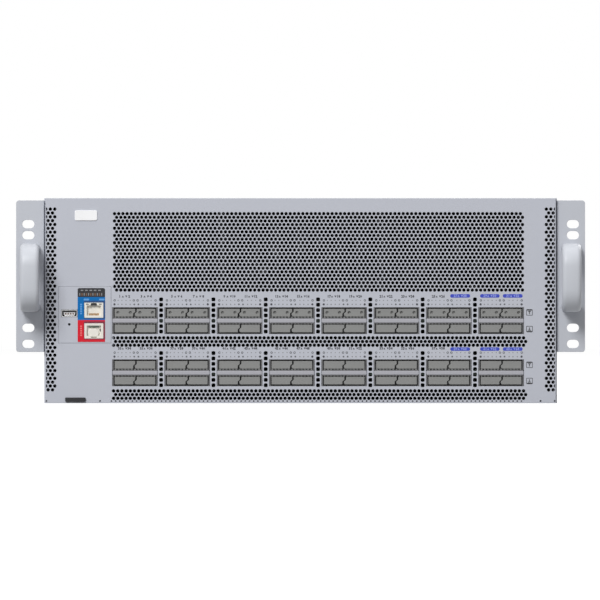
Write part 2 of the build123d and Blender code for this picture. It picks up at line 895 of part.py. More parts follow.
def psu_case(x):
    """Supply housing: a sheet box with a divider that carries the fan, a fan window and an inlet hole."""
    inner_height = psu_height - 2 * psu_sheet
    with BuildPart() as case:
        with BuildSketch(across(psu_front_y)):
            with Locations((x, psu_z)):
                Rectangle(psu_width, psu_height)
        extrude(amount=-psu_depth)
        with BuildSketch(across(psu_front_y + psu_sheet)):
            with Locations((x, psu_z)):
                Rectangle(psu_width - 2 * psu_sheet, inner_height)
        extrude(amount=-(psu_depth - 3 * psu_sheet - psu_divider_back), mode=Mode.SUBTRACT)
        with BuildSketch(across(rear_y - psu_sheet - psu_divider_back)):
            with Locations((x, psu_z)):
                Rectangle(psu_width - 2 * psu_sheet, inner_height)
        extrude(amount=-psu_divider_back, mode=Mode.SUBTRACT)
        with BuildSketch(across(rear_y - psu_sheet)):
            with Locations((x + psu_window_x, psu_z)):
                Rectangle(psu_window, psu_window)
            with Locations((x + inlet_x, psu_z)):
                Rectangle(inlet_width + 2 * plug_gap, inlet_height + 2 * plug_gap)
        extrude(amount=-psu_sheet, mode=Mode.SUBTRACT)
    return case.part


def psu_inlet(x):
    """Power inlet: an open-fronted insulating cup with three blades inside."""
    mouth = inlet_width - 2 * inlet_wall
    with BuildPart() as inlet:
        with BuildSketch(across(rear_y - inlet_depth)):
            with Locations((x + inlet_x, psu_z)):
                Rectangle(inlet_width, inlet_height)
        extrude(amount=-inlet_depth)
        with BuildSketch(across(rear_y - inlet_depth + inlet_wall)):
            with Locations((x + inlet_x, psu_z)):
                Rectangle(mouth, inlet_height - 2 * inlet_wall)
        extrude(amount=-inlet_depth, mode=Mode.SUBTRACT)
        with BuildSketch(across(rear_y - inlet_depth)):
            with Locations(
                (x + inlet_x - pin_spacing / 2, psu_z - pin_lift / 2),
                (x + inlet_x, psu_z + pin_lift),
                (x + inlet_x + pin_spacing / 2, psu_z - pin_lift / 2),
            ):
                Rectangle(pin_width, pin_height)
        extrude(amount=-(inlet_depth - pin_width))
    return inlet.part


def psu_latch(x):
    """Release lever: a knuckle on the face, a thumb tab outwards and a tooth past the side."""
    with BuildPart() as latch:
        with BuildSketch(Plane.XY.offset(psu_z - latch_height / 2)):
            with Locations((x + latch_x, rear_y + slide_gap + latch_reach / 2)):
                Rectangle(latch_sheet, latch_reach)
            with Locations((x + latch_x, rear_y + slide_gap + latch_knuckle / 2)):
                Rectangle(latch_knuckle, latch_knuckle)
            with Locations((x + latch_x + latch_tooth / 2, rear_y + slide_gap + latch_sheet / 2)):
                Rectangle(latch_tooth, latch_sheet)
        extrude(amount=latch_height)
    return latch.part


for number, x in ((1, -psu_x), (2, psu_x)):
    finish(psu_case(x), f"psu_{number}_case")
    finish(psu_inlet(x), f"psu_{number}_inlet")
    finish(psu_latch(x), f"psu_{number}_latch")
    finish(
        bladed_rotor(
            x + psu_window_x,
            psu_z,
            rear_y - psu_sheet - psu_divider_back + slide_gap,
            psu_hub_radius,
            psu_hub_length,
            psu_hub_sides,
            psu_rotor_radius,
            psu_blades,
            psu_blade_chord,
        ),
        f"psu_{number}_rotor",
    )
    finish(
        bow_handle(
            x + psu_handle_x,
            psu_z,
            rear_y,
            rear_y + psu_handle_reach,
            psu_handle_height,
            psu_handle_width,
            psu_handle_bar,
            psu_handle_bar,
            psu_handle_bar,
            psu_handle_inner_corner,
            psu_handle_side_round,
            chamfer,
        ),
        f"psu_{number}_handle",
    )
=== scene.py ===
"""The looks of a four-unit rack switch: perforated face, plugged port cages, rack ears, rear modules."""

from math import cos, pi, radians, sin

import bmesh
import bpy
from mathutils import Matrix, Vector, geometry


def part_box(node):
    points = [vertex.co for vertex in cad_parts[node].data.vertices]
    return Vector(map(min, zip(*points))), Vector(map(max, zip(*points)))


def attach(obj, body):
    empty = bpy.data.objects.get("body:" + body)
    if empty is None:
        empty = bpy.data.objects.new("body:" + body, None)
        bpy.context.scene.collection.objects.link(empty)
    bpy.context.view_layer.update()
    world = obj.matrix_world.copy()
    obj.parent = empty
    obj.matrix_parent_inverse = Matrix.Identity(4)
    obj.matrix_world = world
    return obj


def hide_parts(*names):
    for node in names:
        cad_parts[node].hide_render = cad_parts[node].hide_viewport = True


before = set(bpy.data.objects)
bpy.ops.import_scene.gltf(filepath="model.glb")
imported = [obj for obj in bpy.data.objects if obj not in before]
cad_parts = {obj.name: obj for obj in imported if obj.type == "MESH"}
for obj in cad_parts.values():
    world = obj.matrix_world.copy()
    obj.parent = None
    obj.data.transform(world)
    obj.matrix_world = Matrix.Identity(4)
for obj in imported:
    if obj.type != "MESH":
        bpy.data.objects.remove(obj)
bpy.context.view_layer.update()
MM = 0.001


def box_mm(node):
    """Lowest and highest corner of a CAD node, in millimetres."""
    low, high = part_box(node)
    return low / MM, high / MM


def front_of(low, high):
    """A box as seen from the front: the middle of its face, across and up, its width and its height."""
    return (low.x + high.x) / 2, (low.z + high.z) / 2, high.x - low.x, high.z - low.z


panel_low, panel_high = box_mm("front_panel")
front_y = panel_low.y
half_width = panel_high.x
panel_top = panel_high.z
rear_y = box_mm("fan_1_grille")[1].y
sheet = 1.5
port_field_x = 14.8
cage_pitch = 44.35
cages_in_row = 8
row_z = [front_of(*box_mm(f"port_cages_row_{row}"))[1] for row in range(1, 5)]
pair_z = [(row_z[0] + row_z[1]) / 2, (row_z[2] + row_z[3]) / 2]
row_gap = row_z[0] - row_z[1]
cage_width, cage_height, cage_length = 38.6, 9.2, 52.0
cage_play = 0.2
opening_width, pair_height = cage_width + cage_play, row_gap + cage_height + cage_play


def placed(name, data):
    """A new object in the scene."""
    made = bpy.data.objects.new(name, data)
    bpy.context.scene.collection.objects.link(made)
    return made


# Node trees ---------------------------------------------------------------


def operator(operation, other_first=False):
    """A method of Wire for an operator: it adds a math node."""

    def method(self, other):
        return self.math(operation, other, self) if other_first else self.math(operation, self, other)

    return method


class Wire:
    """A socket of a node tree that takes part in arithmetic."""

    __add__ = operator("ADD")
    __radd__ = operator("ADD", True)
    __sub__ = operator("SUBTRACT")
    __rsub__ = operator("SUBTRACT", True)
    __mul__ = operator("MULTIPLY")
    __rmul__ = operator("MULTIPLY", True)
    __truediv__ = operator("DIVIDE")
    __mod__ = operator("MODULO")
    __gt__ = operator("GREATER_THAN")
    __lt__ = operator("LESS_THAN")

    def __init__(self, bench, made, socket):
        self.bench = bench
        self.made = made
        self.socket = socket

    def also(self, name):
        """Another output of the same node."""
        return Wire(self.bench, self.made, self.made.outputs[name])

    def math(self, operation, first, second=0.0):
        return self.bench.node("ShaderNodeMath", {"operation": operation}, {0: first, 1: second})

    def whole(self):
        return self.math("FLOOR", self)


class Bench:
    """A node tree and the one way in which nodes join it."""

    def __init__(self, tree):
        self.tree = tree

    def node(self, kind, settings=None, inputs=None, output=0):
        made = self.tree.nodes.new(kind)
        for name, value in (settings or {}).items():
            if name == "stops":
                ramp = made.color_ramp.elements
                for _ in value[2:]:
                    ramp.new(0.5)
                for element, (place, colour) in zip(ramp, value):
                    element.position = place
                    element.color = colour
            else:
                setattr(made, name, value)
        for name, value in (inputs or {}).items():
            for part in value if isinstance(value, list) else [value]:
                if isinstance(part, Wire):
                    self.tree.links.new(part.socket, made.inputs[name])
                else:
                    made.inputs[name].default_value = part
        return Wire(self, made, made.outputs[output] if made.outputs else None)


class Maker(Bench):
    """A Geometry Nodes tree with named inputs, and the meshes that it makes."""

    def __init__(self, name, **inputs):
        tree = bpy.data.node_groups.new(name, "GeometryNodeTree")
        super().__init__(tree)
        tree.interface.new_socket("Geometry", in_out="INPUT", socket_type="NodeSocketGeometry")
        self.keys = {}
        for label, kind in {**inputs, "material": "Material"}.items():
            item = tree.interface.new_socket(label, in_out="INPUT", socket_type=f"NodeSocket{kind}")
            self.keys[label] = item.identifier
        tree.interface.new_socket("Geometry", in_out="OUTPUT", socket_type="NodeSocketGeometry")
        self.source = self.node("NodeGroupInput")

    def given(self, label):
        return self.source.also(label)

    def count(self):
        return self.node("GeometryNodeInputIndex")

    def spread(self, unit, count, x, y, z=0.0, **choice):
        """Copies of the unit on points whose places are worked out from their numbers."""
        place = self.node("ShaderNodeCombineXYZ", inputs={0: x, 1: y, 2: z})
        points = self.node("GeometryNodePoints", inputs={"Count": count, "Position": place})
        return self.node("GeometryNodeInstanceOnPoints", inputs={"Points": points, "Instance": unit, **choice})

    def joined(self, *parts):
        both = self.node("GeometryNodeJoinGeometry", inputs={"Geometry": list(parts)})
        whole = self.node("GeometryNodeRealizeInstances", inputs={"Geometry": both})
        return self.node("GeometryNodeMergeByDistance", inputs={"Geometry": whole, "Distance": 0.004})

    def thickened(self, faces, thickness):
        """A closed sheet from flat faces."""
        rise = self.node("ShaderNodeCombineXYZ", inputs={2: thickness})
        raised = self.node("GeometryNodeExtrudeMesh", inputs={"Mesh": faces, "Offset": rise, "Individual": False})
        under = self.node("GeometryNodeFlipFaces", inputs={"Mesh": faces})
        return self.joined(raised, under)

    def deliver(self, shape):
        whole = self.node("GeometryNodeRealizeInstances", inputs={"Geometry": shape})
        done = self.node("GeometryNodeSetMaterial", inputs={"Geometry": whole, "Material": self.given("material")})
        self.node("NodeGroupOutput", inputs={"Geometry": done})

    def make(self, unit, **sizes):
        """The plain mesh that the tree makes from a unit mesh with these sizes."""
        holder = placed("unit", unit)
        modifier = holder.modifiers.new("maker", "NODES")
        modifier.node_group = self.tree
        for label, value in sizes.items():
            modifier[self.keys[label]] = value
        graph = bpy.context.evaluated_depsgraph_get()
        made = bpy.data.meshes.new_from_object(holder.evaluated_get(graph))
        bpy.data.objects.remove(holder)
        return made


def rows_tree():
    """Copies in straight rows about the unit's own place."""
    tree = Maker("rows_of_copies", across="Int", deep="Int", step_across="Float", step_deep="Float")
    across, deep = tree.given("across"), tree.given("deep")
    number = tree.count()
    column = number % across
    row = (number / across).whole()
    spread = tree.spread(
        tree.source,
        across * deep,
        (column - (across - 1) / 2) * tree.given("step_across"),
        (row - (deep - 1) / 2) * tree.given("step_deep"),
    )
    tree.deliver(spread)
    return tree


def ring_tree():
    """Copies turned about an axis along Y; the unit is drawn round the origin."""
    tree = Maker("ring_of_copies", count="Int", axis_x="Float", axis_z="Float")
    turn = tree.node("ShaderNodeCombineXYZ", inputs={1: tree.count() * (2 * pi) / tree.given("count")})
    spread = tree.spread(
        tree.source, tree.given("count"), tree.given("axis_x"), 0.0, tree.given("axis_z"), Rotation=turn
    )
    tree.deliver(spread)
    return tree


def punched_tree():
    """A punched sheet, drawn flat: rows of cells, set over by half a pitch in turn, and cells that end them."""
    tree = Maker(
        "punched_sheet", columns="Int", rows="Int", pitch_across="Float", pitch_up="Float", first_over="Int",
        left_end="Object", right_end="Object", thickness="Float"
    )
    columns, rows = tree.given("columns"), tree.given("rows")
    pitch, rise = tree.given("pitch_across"), tree.given("pitch_up")
    number = tree.count()
    row = (number / columns).whole()
    over = (row + tree.given("first_over")) % 2
    cells = tree.spread(
        tree.source, columns * rows, (number % columns + 0.5 + over * 0.5) * pitch, (row + 0.5) * rise
    )
    end_over = (number + tree.given("first_over")) % 2
    ends = []
    for label, place, chosen in (("left_end", 0.0, end_over), ("right_end", columns * pitch, 1 - end_over)):
        end = tree.node("GeometryNodeObjectInfo", inputs={"Object": tree.given(label)}).also("Geometry")
        ends.append(tree.spread(end, rows, place, (number + 0.5) * rise, Selection=chosen))
    tree.deliver(tree.thickened(tree.joined(cells, *ends), tree.given("thickness")))
    return tree


def cut_tree():
    """A sheet cut along loops of edges, drawn flat."""
    tree = Maker("cut_sheet", thickness="Float")
    loops = tree.node("GeometryNodeMeshToCurve", inputs={"Mesh": tree.source})
    faces = tree.node("GeometryNodeFillCurve", {"mode": "TRIANGLES"}, {"Curve": loops})
    tree.deliver(tree.thickened(faces, tree.given("thickness")))
    return tree


rows_of_copies = rows_tree()
ring_of_copies = ring_tree()
punched_sheet = punched_tree()
cut_sheet = cut_tree()


def in_rows(unit, across, step_across, deep=1, step_deep=0.0):
    """Copies of a mesh side by side, in one row or in several along Y."""
    return rows_of_copies.make(unit, across=across, deep=deep, step_across=step_across, step_deep=step_deep)


# Shapes, in millimetres ---------------------------------------------------

UPRIGHT = Matrix(((1, 0, 0, 0), (0, 0, -1, 0), (0, 1, 0, 0), (0, 0, 0, 1)))
SIDEWAYS = Matrix(((0, 0, 1, 0), (1, 0, 0, 0), (0, 1, 0, 0), (0, 0, 0, 1)))
LEVEL = Matrix.Identity(4)


def rectangle(x, z, width, height):
    return [
        (x - width / 2, z - height / 2),
        (x + width / 2, z - height / 2),
        (x + width / 2, z + height / 2),
        (x - width / 2, z + height / 2),
    ]


def round_off(points, radius, steps=4):
    """A closed loop with its corners rounded; radius is one number or one for each corner."""
    loop = []
    radii = radius if isinstance(radius, (list, tuple)) else [radius] * len(points)
    for number, corner_radius in enumerate(radii):
        corner = Vector(points[number])
        before = Vector(points[number - 1]) - corner
        after = Vector(points[(number + 1) % len(points)]) - corner
        if corner_radius == 0:
            loop.append(tuple(corner))
            continue
        bisector = (before.normalized() + after.normalized()).normalized()
        half = before.angle(after) / 2
        centre = corner + bisector * (corner_radius / sin(half))
        start = corner + before.normalized() * (corner_radius * cos(half) / sin(half)) - centre
        end = corner + after.normalized() * (corner_radius * cos(half) / sin(half)) - centre
        for step in range(steps + 1):
            loop.append(tuple(centre + start.slerp(end, step / steps) * corner_radius))
    return loop


def rounded(x, z, width, height, radius, steps=4):
    return round_off(rectangle(x, z, width, height), radius, steps)


def circle(x, z, radius, sides=24):
    return [(x + radius * cos(2 * pi * n / sides), z + radius * sin(2 * pi * n / sides)) for n in range(sides)]


def loop_mesh(*loops):
    """Closed loops of edges in the drawing plane."""
    mesh = bpy.data.meshes.new("loops")
    points = [(x, z, 0) for loop in loops for x, z in loop]
    edges = []
    for loop in loops:
        first = len(edges)
        edges += [(first + n, first + (n + 1) % len(loop)) for n in range(len(loop))]
    mesh.from_pydata(points, edges, [])
    return mesh


def as_mesh(shape):
    """A mesh from a bmesh, which is freed."""
    mesh = bpy.data.meshes.new("shape")
    shape.to_mesh(mesh)
    shape.free()
    return mesh


def mended(shape, distance=0.0005):
    """A mesh from a bmesh, with its doubles merged and its faces pointing outwards."""
    bmesh.ops.remove_doubles(shape, verts=shape.verts, dist=distance)
    bmesh.ops.recalc_face_normals(shape, faces=shape.faces)
    return as_mesh(shape)


def filled(curve):
    """The mesh of a curve or a text."""
    holder = bpy.data.objects.new("outline", curve)
    mesh = bpy.data.meshes.new_from_object(holder)
    bpy.data.objects.remove(holder)
    return mesh


def plate(loops, near, far, lie=UPRIGHT, edge=0.0, steps=1):
    """A closed plate between two depths: the first loop is its outline, the rest are cut out; edge rounds rims."""
    curve = bpy.data.curves.new("outline", "CURVE")
    curve.dimensions = "2D"
    curve.fill_mode = "BOTH"
    curve.extrude = abs(far - near) / 2 - edge
    curve.bevel_depth = edge
    curve.bevel_resolution = steps
    curve.offset = -edge
    for number, loop in enumerate(loops):
        turned_left = sum(a[0] * b[1] - b[0] * a[1] for a, b in zip(loop, loop[1:] + loop[:1])) > 0
        points = loop if turned_left == (number == 0) else loop[::-1]
        spline = curve.splines.new("POLY")
        spline.points.add(len(points) - 1)
        for point, (x, z) in zip(spline.points, points):
            point.co = (x, z, 0, 1)
        spline.use_cyclic_u = True
    shape = bmesh.new()
    shape.from_mesh(filled(curve))
    across = Vector((0, 0, 1)) if lie is LEVEL else Vector((1, 0, 0)) if lie is SIDEWAYS else Vector((0, 1, 0))
    shape.transform(Matrix.Translation(across * (near + far) / 2) @ lie)
    return mended(shape)


def block(low, high, edge=0.0, steps=1):
    """A box between two corners with rounded edges."""
    outline = rounded(*front_of(Vector(low), Vector(high)), edge, 2)
    return plate([outline], low[1], high[1], edge=edge * 0.9, steps=steps)


def faces_between(shape, rings):
    """Faces between each ring of corners and the next."""
    for one, two in zip(rings, rings[1:]):
        for n in range(len(one)):
            m = (n + 1) % len(one)
            corners = list(dict.fromkeys((one[n], one[m], two[m], two[n])))
            if len(corners) > 2:
                shape.faces.new(corners)


def turned(profile, x, z, sides=24):
    """A shape turned about an axis along Y through (x, z); the profile lists (radius, y)."""
    shape = bmesh.new()
    rings = []
    for radius, y in profile:
        if radius == 0:
            rings.append([shape.verts.new((x, y, z))] * sides)
        else:
            rings.append([shape.verts.new((a, y, b)) for a, b in circle(x, z, radius, sides)])
    if profile[0][0] > 0 and profile[-1][0] > 0:
        rings.append(rings[0])
    faces_between(shape, rings)
    return mended(shape)


def together(*meshes):
    """Several meshes as one."""
    shape = bmesh.new()
    for mesh in meshes:
        shape.from_mesh(mesh)
    return as_mesh(shape)


def moved(mesh, x=0.0, y=0.0, z=0.0, turn=None):
    """A copy of a mesh, turned by a matrix and moved."""
    copy = mesh.copy()
    copy.transform(Matrix.Translation((x, y, z)) @ (turn or Matrix.Identity(4)))
    return copy


def mirrored(mesh):
    """A copy of a mesh on the other side of x = 0, its faces still outwards."""
    copy = mesh.copy()
    copy.transform(Matrix.Scale(-1, 4, (1, 0, 0)))
    copy.flip_normals()
    return copy


def over_cages(unit, z):
    """Copies of a mesh, one at each cage of a row whose middle is at z."""
    return moved(in_rows(unit, cages_in_row, cage_pitch), port_field_x, 0, z)


def bow(low, high, seat, tip, leg, grip, corner, inner, edge, sink, steps=3):
    """A handle bent from one bar, as wide and high as a box: grip at y = tip, feet at y = seat, let in by sink."""
    x, z, width, height = front_of(low, high)
    out = 1 if tip > seat else -1
    near = seat - out * sink
    outline = [
        (near, z - height / 2),
        (tip, z - height / 2),
        (tip, z + height / 2),
        (near, z + height / 2),
        (near, z + height / 2 - leg),
        (tip - out * grip, z + height / 2 - leg),
        (tip - out * grip, z - height / 2 + leg),
        (near, z - height / 2 + leg),
    ]
    loop = round_off(outline, [0, corner, corner, 0, 0, inner, inner, 0], 6)
    return plate([loop], x - width / 2, x + width / 2, SIDEWAYS, edge, steps)


def piece(name, mesh, finish, *nodes, body="chassis", soft_angle=35, crisp=True):
    """A finished piece in metres, with its finish, body and the nodes that it stands for; crisp keeps flats flat."""
    mesh = mesh.copy()
    mesh.name = name
    mesh.transform(Matrix.Scale(MM, 4))
    mesh.materials.clear()
    mesh.materials.append(finish)
    mesh.polygons.foreach_set("material_index", [0] * len(mesh.polygons))
    mesh.shade_smooth()
    mesh.set_sharp_from_angle(angle=radians(soft_angle))
    made = placed(name, mesh)
    if crisp:
        even = made.modifiers.new("even", "WEIGHTED_NORMAL")
        even.mode = "FACE_AREA"
        even.weight = 100
        even.keep_sharp = True
        graph = bpy.context.evaluated_depsgraph_get()
        made.data = bpy.data.meshes.new_from_object(made.evaluated_get(graph))
        made.data.name = name
        made.modifiers.clear()
    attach(made, body)
    if nodes:
        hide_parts(*nodes)


def on_both_sides(name, mesh, finish, *nodes, **choice):
    """A piece on the right of the chassis and its mirror image on the left; nodes are named without their side."""
    for side, shape in (("right", mesh), ("left", mirrored(mesh))):
        piece(f"{name}_{side}", shape, finish, *[f"{node}_{side}" for node in nodes], **choice)


# Finishes -----------------------------------------------------------------


def cleared(owner):
    """The node tree of a material or a world, emptied."""
    owner.use_nodes = True
    owner.node_tree.nodes.clear()
    return owner.node_tree


class Finish(Bench):
    """A surface finish: one shader, fed by patterns in the piece's own coordinates."""

    def __init__(self, name, **values):
        self.material = bpy.data.materials.new(name)
        super().__init__(cleared(self.material))
        self.shader = self.node("ShaderNodeBsdfPrincipled")
        self.node("ShaderNodeOutputMaterial", inputs={"Surface": self.shader})
        self.place = self.node("ShaderNodeTexCoord").also("Object")
        for label, value in values.items():
            self.set(label.replace("_", " ").title(), value)

    def set(self, label, value):
        target = self.shader.made.inputs[label]
        if isinstance(value, Wire):
            self.tree.links.new(value.socket, target)
        else:
            target.default_value = value

    def noise(self, scale, detail=2.0, stretch=(1, 1, 1)):
        """Noise from 0 to 1; scale is in patches a metre."""
        place = self.node("ShaderNodeMapping", inputs={"Vector": self.place, "Scale": stretch})
        return self.node("ShaderNodeTexNoise", inputs={"Vector": place, "Scale": scale, "Detail": detail})

    def between(self, share, one, two):
        """A colour between two, by a share from 0 to 1."""
        return self.node(
            "ShaderNodeMix", {"data_type": "RGBA"}, {0: share, 6: self.colour(one), 7: self.colour(two)}, output=2
        )

    @staticmethod
    def colour(value):
        return value if isinstance(value, Wire) else (*value, 1.0)

    def bump(self, height, depth, strength=1.0, over=None):
        inputs = {"Height": height, "Distance": depth * MM, "Strength": strength}
        if over:
            inputs["Normal"] = over
        return self.node("ShaderNodeBump", inputs=inputs)


def shade(colour, factor):
    return tuple(min(1.0, part * factor) for part in colour)


def powder_paint(name, tone, roughness=0.46, shine=0.5):
    """Fine powder coat: a faint orange peel, grains and a slow drift of tone."""
    made = Finish(name)
    made.set("Specular IOR Level", shine)
    drift = made.noise(14, 3)
    grain = made.noise(2600, 2)
    made.set("Base Color", made.between(drift, shade(tone, 0.985), shade(tone, 1.015)))
    made.set("Roughness", roughness + (grain - 0.5) * 0.12)
    peel = made.bump(made.noise(420, 2), 0.02, 0.5)
    made.set("Normal", made.bump(grain, 0.006, 0.5, peel))
    return made.material


def plated_sheet(name, tone, roughness=0.34, stretch=(1, 12, 1)):
    """Plated steel or aluminium, with rolling marks along one way."""
    made = Finish(name, Metallic=0.85)
    marks = made.noise(160, 4, stretch)
    cloud = made.noise(30, 3)
    made.set("Base Color", made.between(cloud * 0.5 + marks * 0.5, shade(tone, 0.88), shade(tone, 1.1)))
    made.set("Roughness", roughness + (marks - 0.5) * 0.2)
    made.set("Normal", made.bump(marks, 0.01, 0.4))
    return made.material


def tray_paint():
    """Powder coat outside; inside the chassis bare steel, darkened as painted shade of the closed inside."""
    made = Finish("tray_paint_and_steel")
    across, deep, up = (made.node("ShaderNodeSeparateXYZ", inputs={0: made.place}).also(axis) for axis in "XYZ")
    wall, roof, back = half_width - sheet / 2, panel_top - 1.9, rear_y - 2.0
    inside = (across.math("ABSOLUTE", across) < wall * MM) * (up > sheet / 2 * MM) * (up < roof * MM)
    inside = inside * (deep < back * MM)
    drift = made.noise(14, 3)
    outer = made.between(drift, (0.463, 0.48, 0.522), (0.477, 0.495, 0.538))
    # inner: bare steel made near black, painted shade for the inside seen through the holes
    inner = made.between(drift, (0.1, 0.1, 0.105), (0.14, 0.14, 0.145))
    grain = made.noise(2600, 2)
    made.set("Base Color", made.between(inside, outer, inner))
    made.set("Roughness", 0.46 + (grain - 0.5) * 0.12)
    made.set("Normal", made.bump(grain, 0.006, 0.5))
    return made.material


def moulded(name, tone, roughness=0.5, grain=900, depth=0.01, shine=0.5):
    """Moulded plastic with a fine spark-eroded grain."""
    made = Finish(name)
    made.set("Specular IOR Level", shine)
    skin = made.noise(grain, 2)
    drift = made.noise(60, 2)
    made.set("Base Color", made.between(drift, shade(tone, 0.95), shade(tone, 1.05)))
    made.set("Roughness", roughness + (skin - 0.5) * 0.15)
    made.set("Normal", made.bump(skin, depth, 0.6))
    return made.material


def circuit_board(name, tone):
    """Solder mask with a faint web of tracks under it."""
    made = Finish(name, Roughness=0.35)
    tracks = made.node(
        "ShaderNodeTexVoronoi",
        {"feature": "DISTANCE_TO_EDGE", "distance": "EUCLIDEAN"},
        {"Vector": made.place, "Scale": 220.0},
    )
    line = tracks < 0.06
    made.set("Base Color", made.between(line, tone, shade(tone, 1.9)))
    made.set("Normal", made.bump(line, 0.03, 0.5))
    return made.material


def printed_film(name, bands, roughness=0.38):
    """Printed film in plain fields of colour, one above the other; bands list (lowest height, colour)."""
    made = Finish(name)
    height = made.node("ShaderNodeSeparateXYZ", inputs={0: made.place}).also("Z")
    colour = bands[0][1]
    for low, tone in bands[1:]:
        colour = made.between(height > low * MM, colour, tone)
    speck = made.noise(1800, 2)
    shine = made.noise(90, 2)
    made.set("Specular IOR Level", 0.15)
    made.set("Base Color", made.between(shine * 0.02, colour, (0.5, 0.5, 0.5)))
    made.set("Roughness", roughness + (speck - 0.5) * 0.1)
    made.set("Normal", made.bump(speck, 0.004, 0.4))
    return made.material


def ink(name, tone):
    """Screen-printed ink."""
    made = Finish(name)
    made.set("Base Color", made.between(made.noise(1500, 2), shade(tone, 0.9), shade(tone, 1.1)))
    made.set("Roughness", 0.5 + (made.noise(900, 2) - 0.5) * 0.1)
    return made.material


panel_paint = powder_paint("panel_powder_paint", (0.495, 0.512, 0.57))
ear_paint = powder_paint("ear_powder_paint", (0.5, 0.518, 0.565))
case_paint = powder_paint("case_powder_paint", (0.47, 0.488, 0.53), 0.62, shine=0.2)
handle_paint = powder_paint("handle_satin_paint", (0.54, 0.56, 0.605), 0.45)
chassis_finish_with_shade = tray_paint()
zinc = plated_sheet("zinc_plated_sheet", (0.47, 0.48, 0.5))
# the bay's zinc is darkened as painted shade inside the chassis
bay_metal_shaded = plated_sheet("bay_dull_zinc", (0.17, 0.17, 0.18), 0.5)
supply_sheet = plated_sheet("supply_case_sheet", (0.46, 0.47, 0.49), 0.38, (1, 1, 12))
# nickel cages in a dark tone: painted shade of the lips round the port mouths
cage_metal_shaded = powder_paint("cage_dull_nickel", (0.115, 0.115, 0.12), 0.5)
finger_metal = powder_paint("spring_finger_metal", (0.24, 0.24, 0.24), 0.4)
# bridge tone: the panel's colour made darker, partly painted shade between the rows of a pair
bridge_metal_shaded = powder_paint("bridge_satin_metal", (0.4, 0.4, 0.435), 0.4)
port_steel = plated_sheet("port_shell_steel", (0.62, 0.62, 0.63), 0.25)
sink_metal = plated_sheet("heatsink_black_anodised", (0.03, 0.03, 0.032), 0.5, (1, 0.05, 1))
screw_metal = plated_sheet("screw_steel", (0.55, 0.55, 0.57), 0.3, (1, 1, 1))
contact_gold = plated_sheet("contact_gold", (0.6, 0.33, 0.12), 0.25)
contact_brown = plated_sheet("contact_brown", (0.17, 0.12, 0.1), 0.4)
contact_green = plated_sheet("contact_green_tinned", (0.16, 0.22, 0.18), 0.4)
board_green = circuit_board("board_green_mask", (0.006, 0.028, 0.014))
plug_grey = moulded("plug_grey_plastic", (0.235, 0.237, 0.232), 0.55)
chip_black = moulded("chip_black_resin", (0.02, 0.02, 0.022), 0.45)
tag_dark = moulded("tag_dark_plastic", (0.018, 0.0185, 0.021), 0.6, shine=0.3)
fan_black = moulded("fan_black_plastic", (0.022, 0.022, 0.024), 0.42, 500)
grip_black = moulded("grip_black_plastic", (0.035, 0.035, 0.038), 0.55, 1400, 0.02)
jack_cream = moulded("jack_cream_plastic", (0.82, 0.79, 0.72), 0.35)
badge_white = moulded("badge_white_plastic", (0.93, 0.93, 0.94), 0.3)
latch_blue = moulded("latch_blue_plastic", (0.03, 0.12, 0.38), 0.45)
lens_amber = moulded("lens_amber", (0.15, 0.075, 0.04), 0.3)
lens_green = moulded("lens_green", (0.1, 0.45, 0.15), 0.2)
lens_clear = moulded("lens_clear", (0.27, 0.275, 0.29), 0.25)
pin_dark = moulded("pinhole_black", (0.012, 0.012, 0.013), 0.7)
ink_dark = ink("ink_dark", (0.045, 0.045, 0.055))
ink_grey = ink("ink_grey", (0.11, 0.115, 0.125))
ink_blue = ink("ink_blue", (0.03, 0.052, 0.44))
ink_pale_blue = ink("ink_pale_blue", (0.26, 0.31, 0.72))
label_pale_blue = ink("label_pale_blue", (0.1, 0.32, 0.68))
label_pale_red = ink("label_pale_red", (0.82, 0.16, 0.16))
label_dark_blue = ink("label_dark_blue", (0.004, 0.05, 0.17))
label_dark_red = ink("label_dark_red", (0.17, 0.012, 0.035))
label_film = printed_film(
    "label_film", [(0.0, (0.68, 0.012, 0.028)), (70.6, (0.0, 0.148, 0.45)), (90.1, (0.035, 0.035, 0.038))]
)


# Perforated front panel ---------------------------------------------------


def cell(width, height, hole):
    """One cell of a punched sheet, drawn flat about its hole; its top and bottom edges have a point halfway."""
    corners = rectangle(0, 0, width, height)
    outer = [corners[0], (0, -height / 2), corners[1], corners[2], (0, height / 2), corners[3]]
    loops = [[Vector((x, z, 0)) for x, z in loop] for loop in ([outer, hole] if hole else [outer])]
    shape = bmesh.new()
    corners = [shape.verts.new(point) for loop in loops for point in loop]
    for triangle in geometry.tessellate_polygon(loops):
        face = shape.faces.new([corners[n] for n in triangle])
        face.normal_update()
        if face.normal.z < 0:
            face.normal_flip()
    return as_mesh(shape)


def end_cell(width, height, hole=None):
    """A cell that ends a row, from x = 0 to its width, with its hole if it has one."""
    return moved(cell(width, height, [(x - width / 2, z) for x, z in hole] if hole else None), width / 2)


def punched(x, z, columns, rows, pitch, rise, radius, first_over=0, left=None):
    """A punched field whose lower left corner is at (x, z), in the panel's sheet; left may end its rows there."""
    plain = end_cell(pitch / 2, rise)
    ends = [placed("end_cell", mesh) for mesh in (plain if left is None else left, plain)]
    unit = cell(pitch, rise, circle(0, 0, radius, 10))
    made = punched_sheet.make(
        unit, columns=columns, rows=rows, pitch_across=pitch, pitch_up=rise, first_over=first_over,
        left_end=ends[0], right_end=ends[1], thickness=sheet
    )
    for holder in ends:
        bpy.data.objects.remove(holder)
    return moved(made, x, front_y + sheet, z, UPRIGHT)


def field_loop(x, z, columns, rows, pitch, rise):
    """Outline of a punched field whose lower left corner is at (x, z)."""
    width, height = (columns + 0.5) * pitch, rows * rise
    return rectangle(x + width / 2, z + height / 2, width, height)


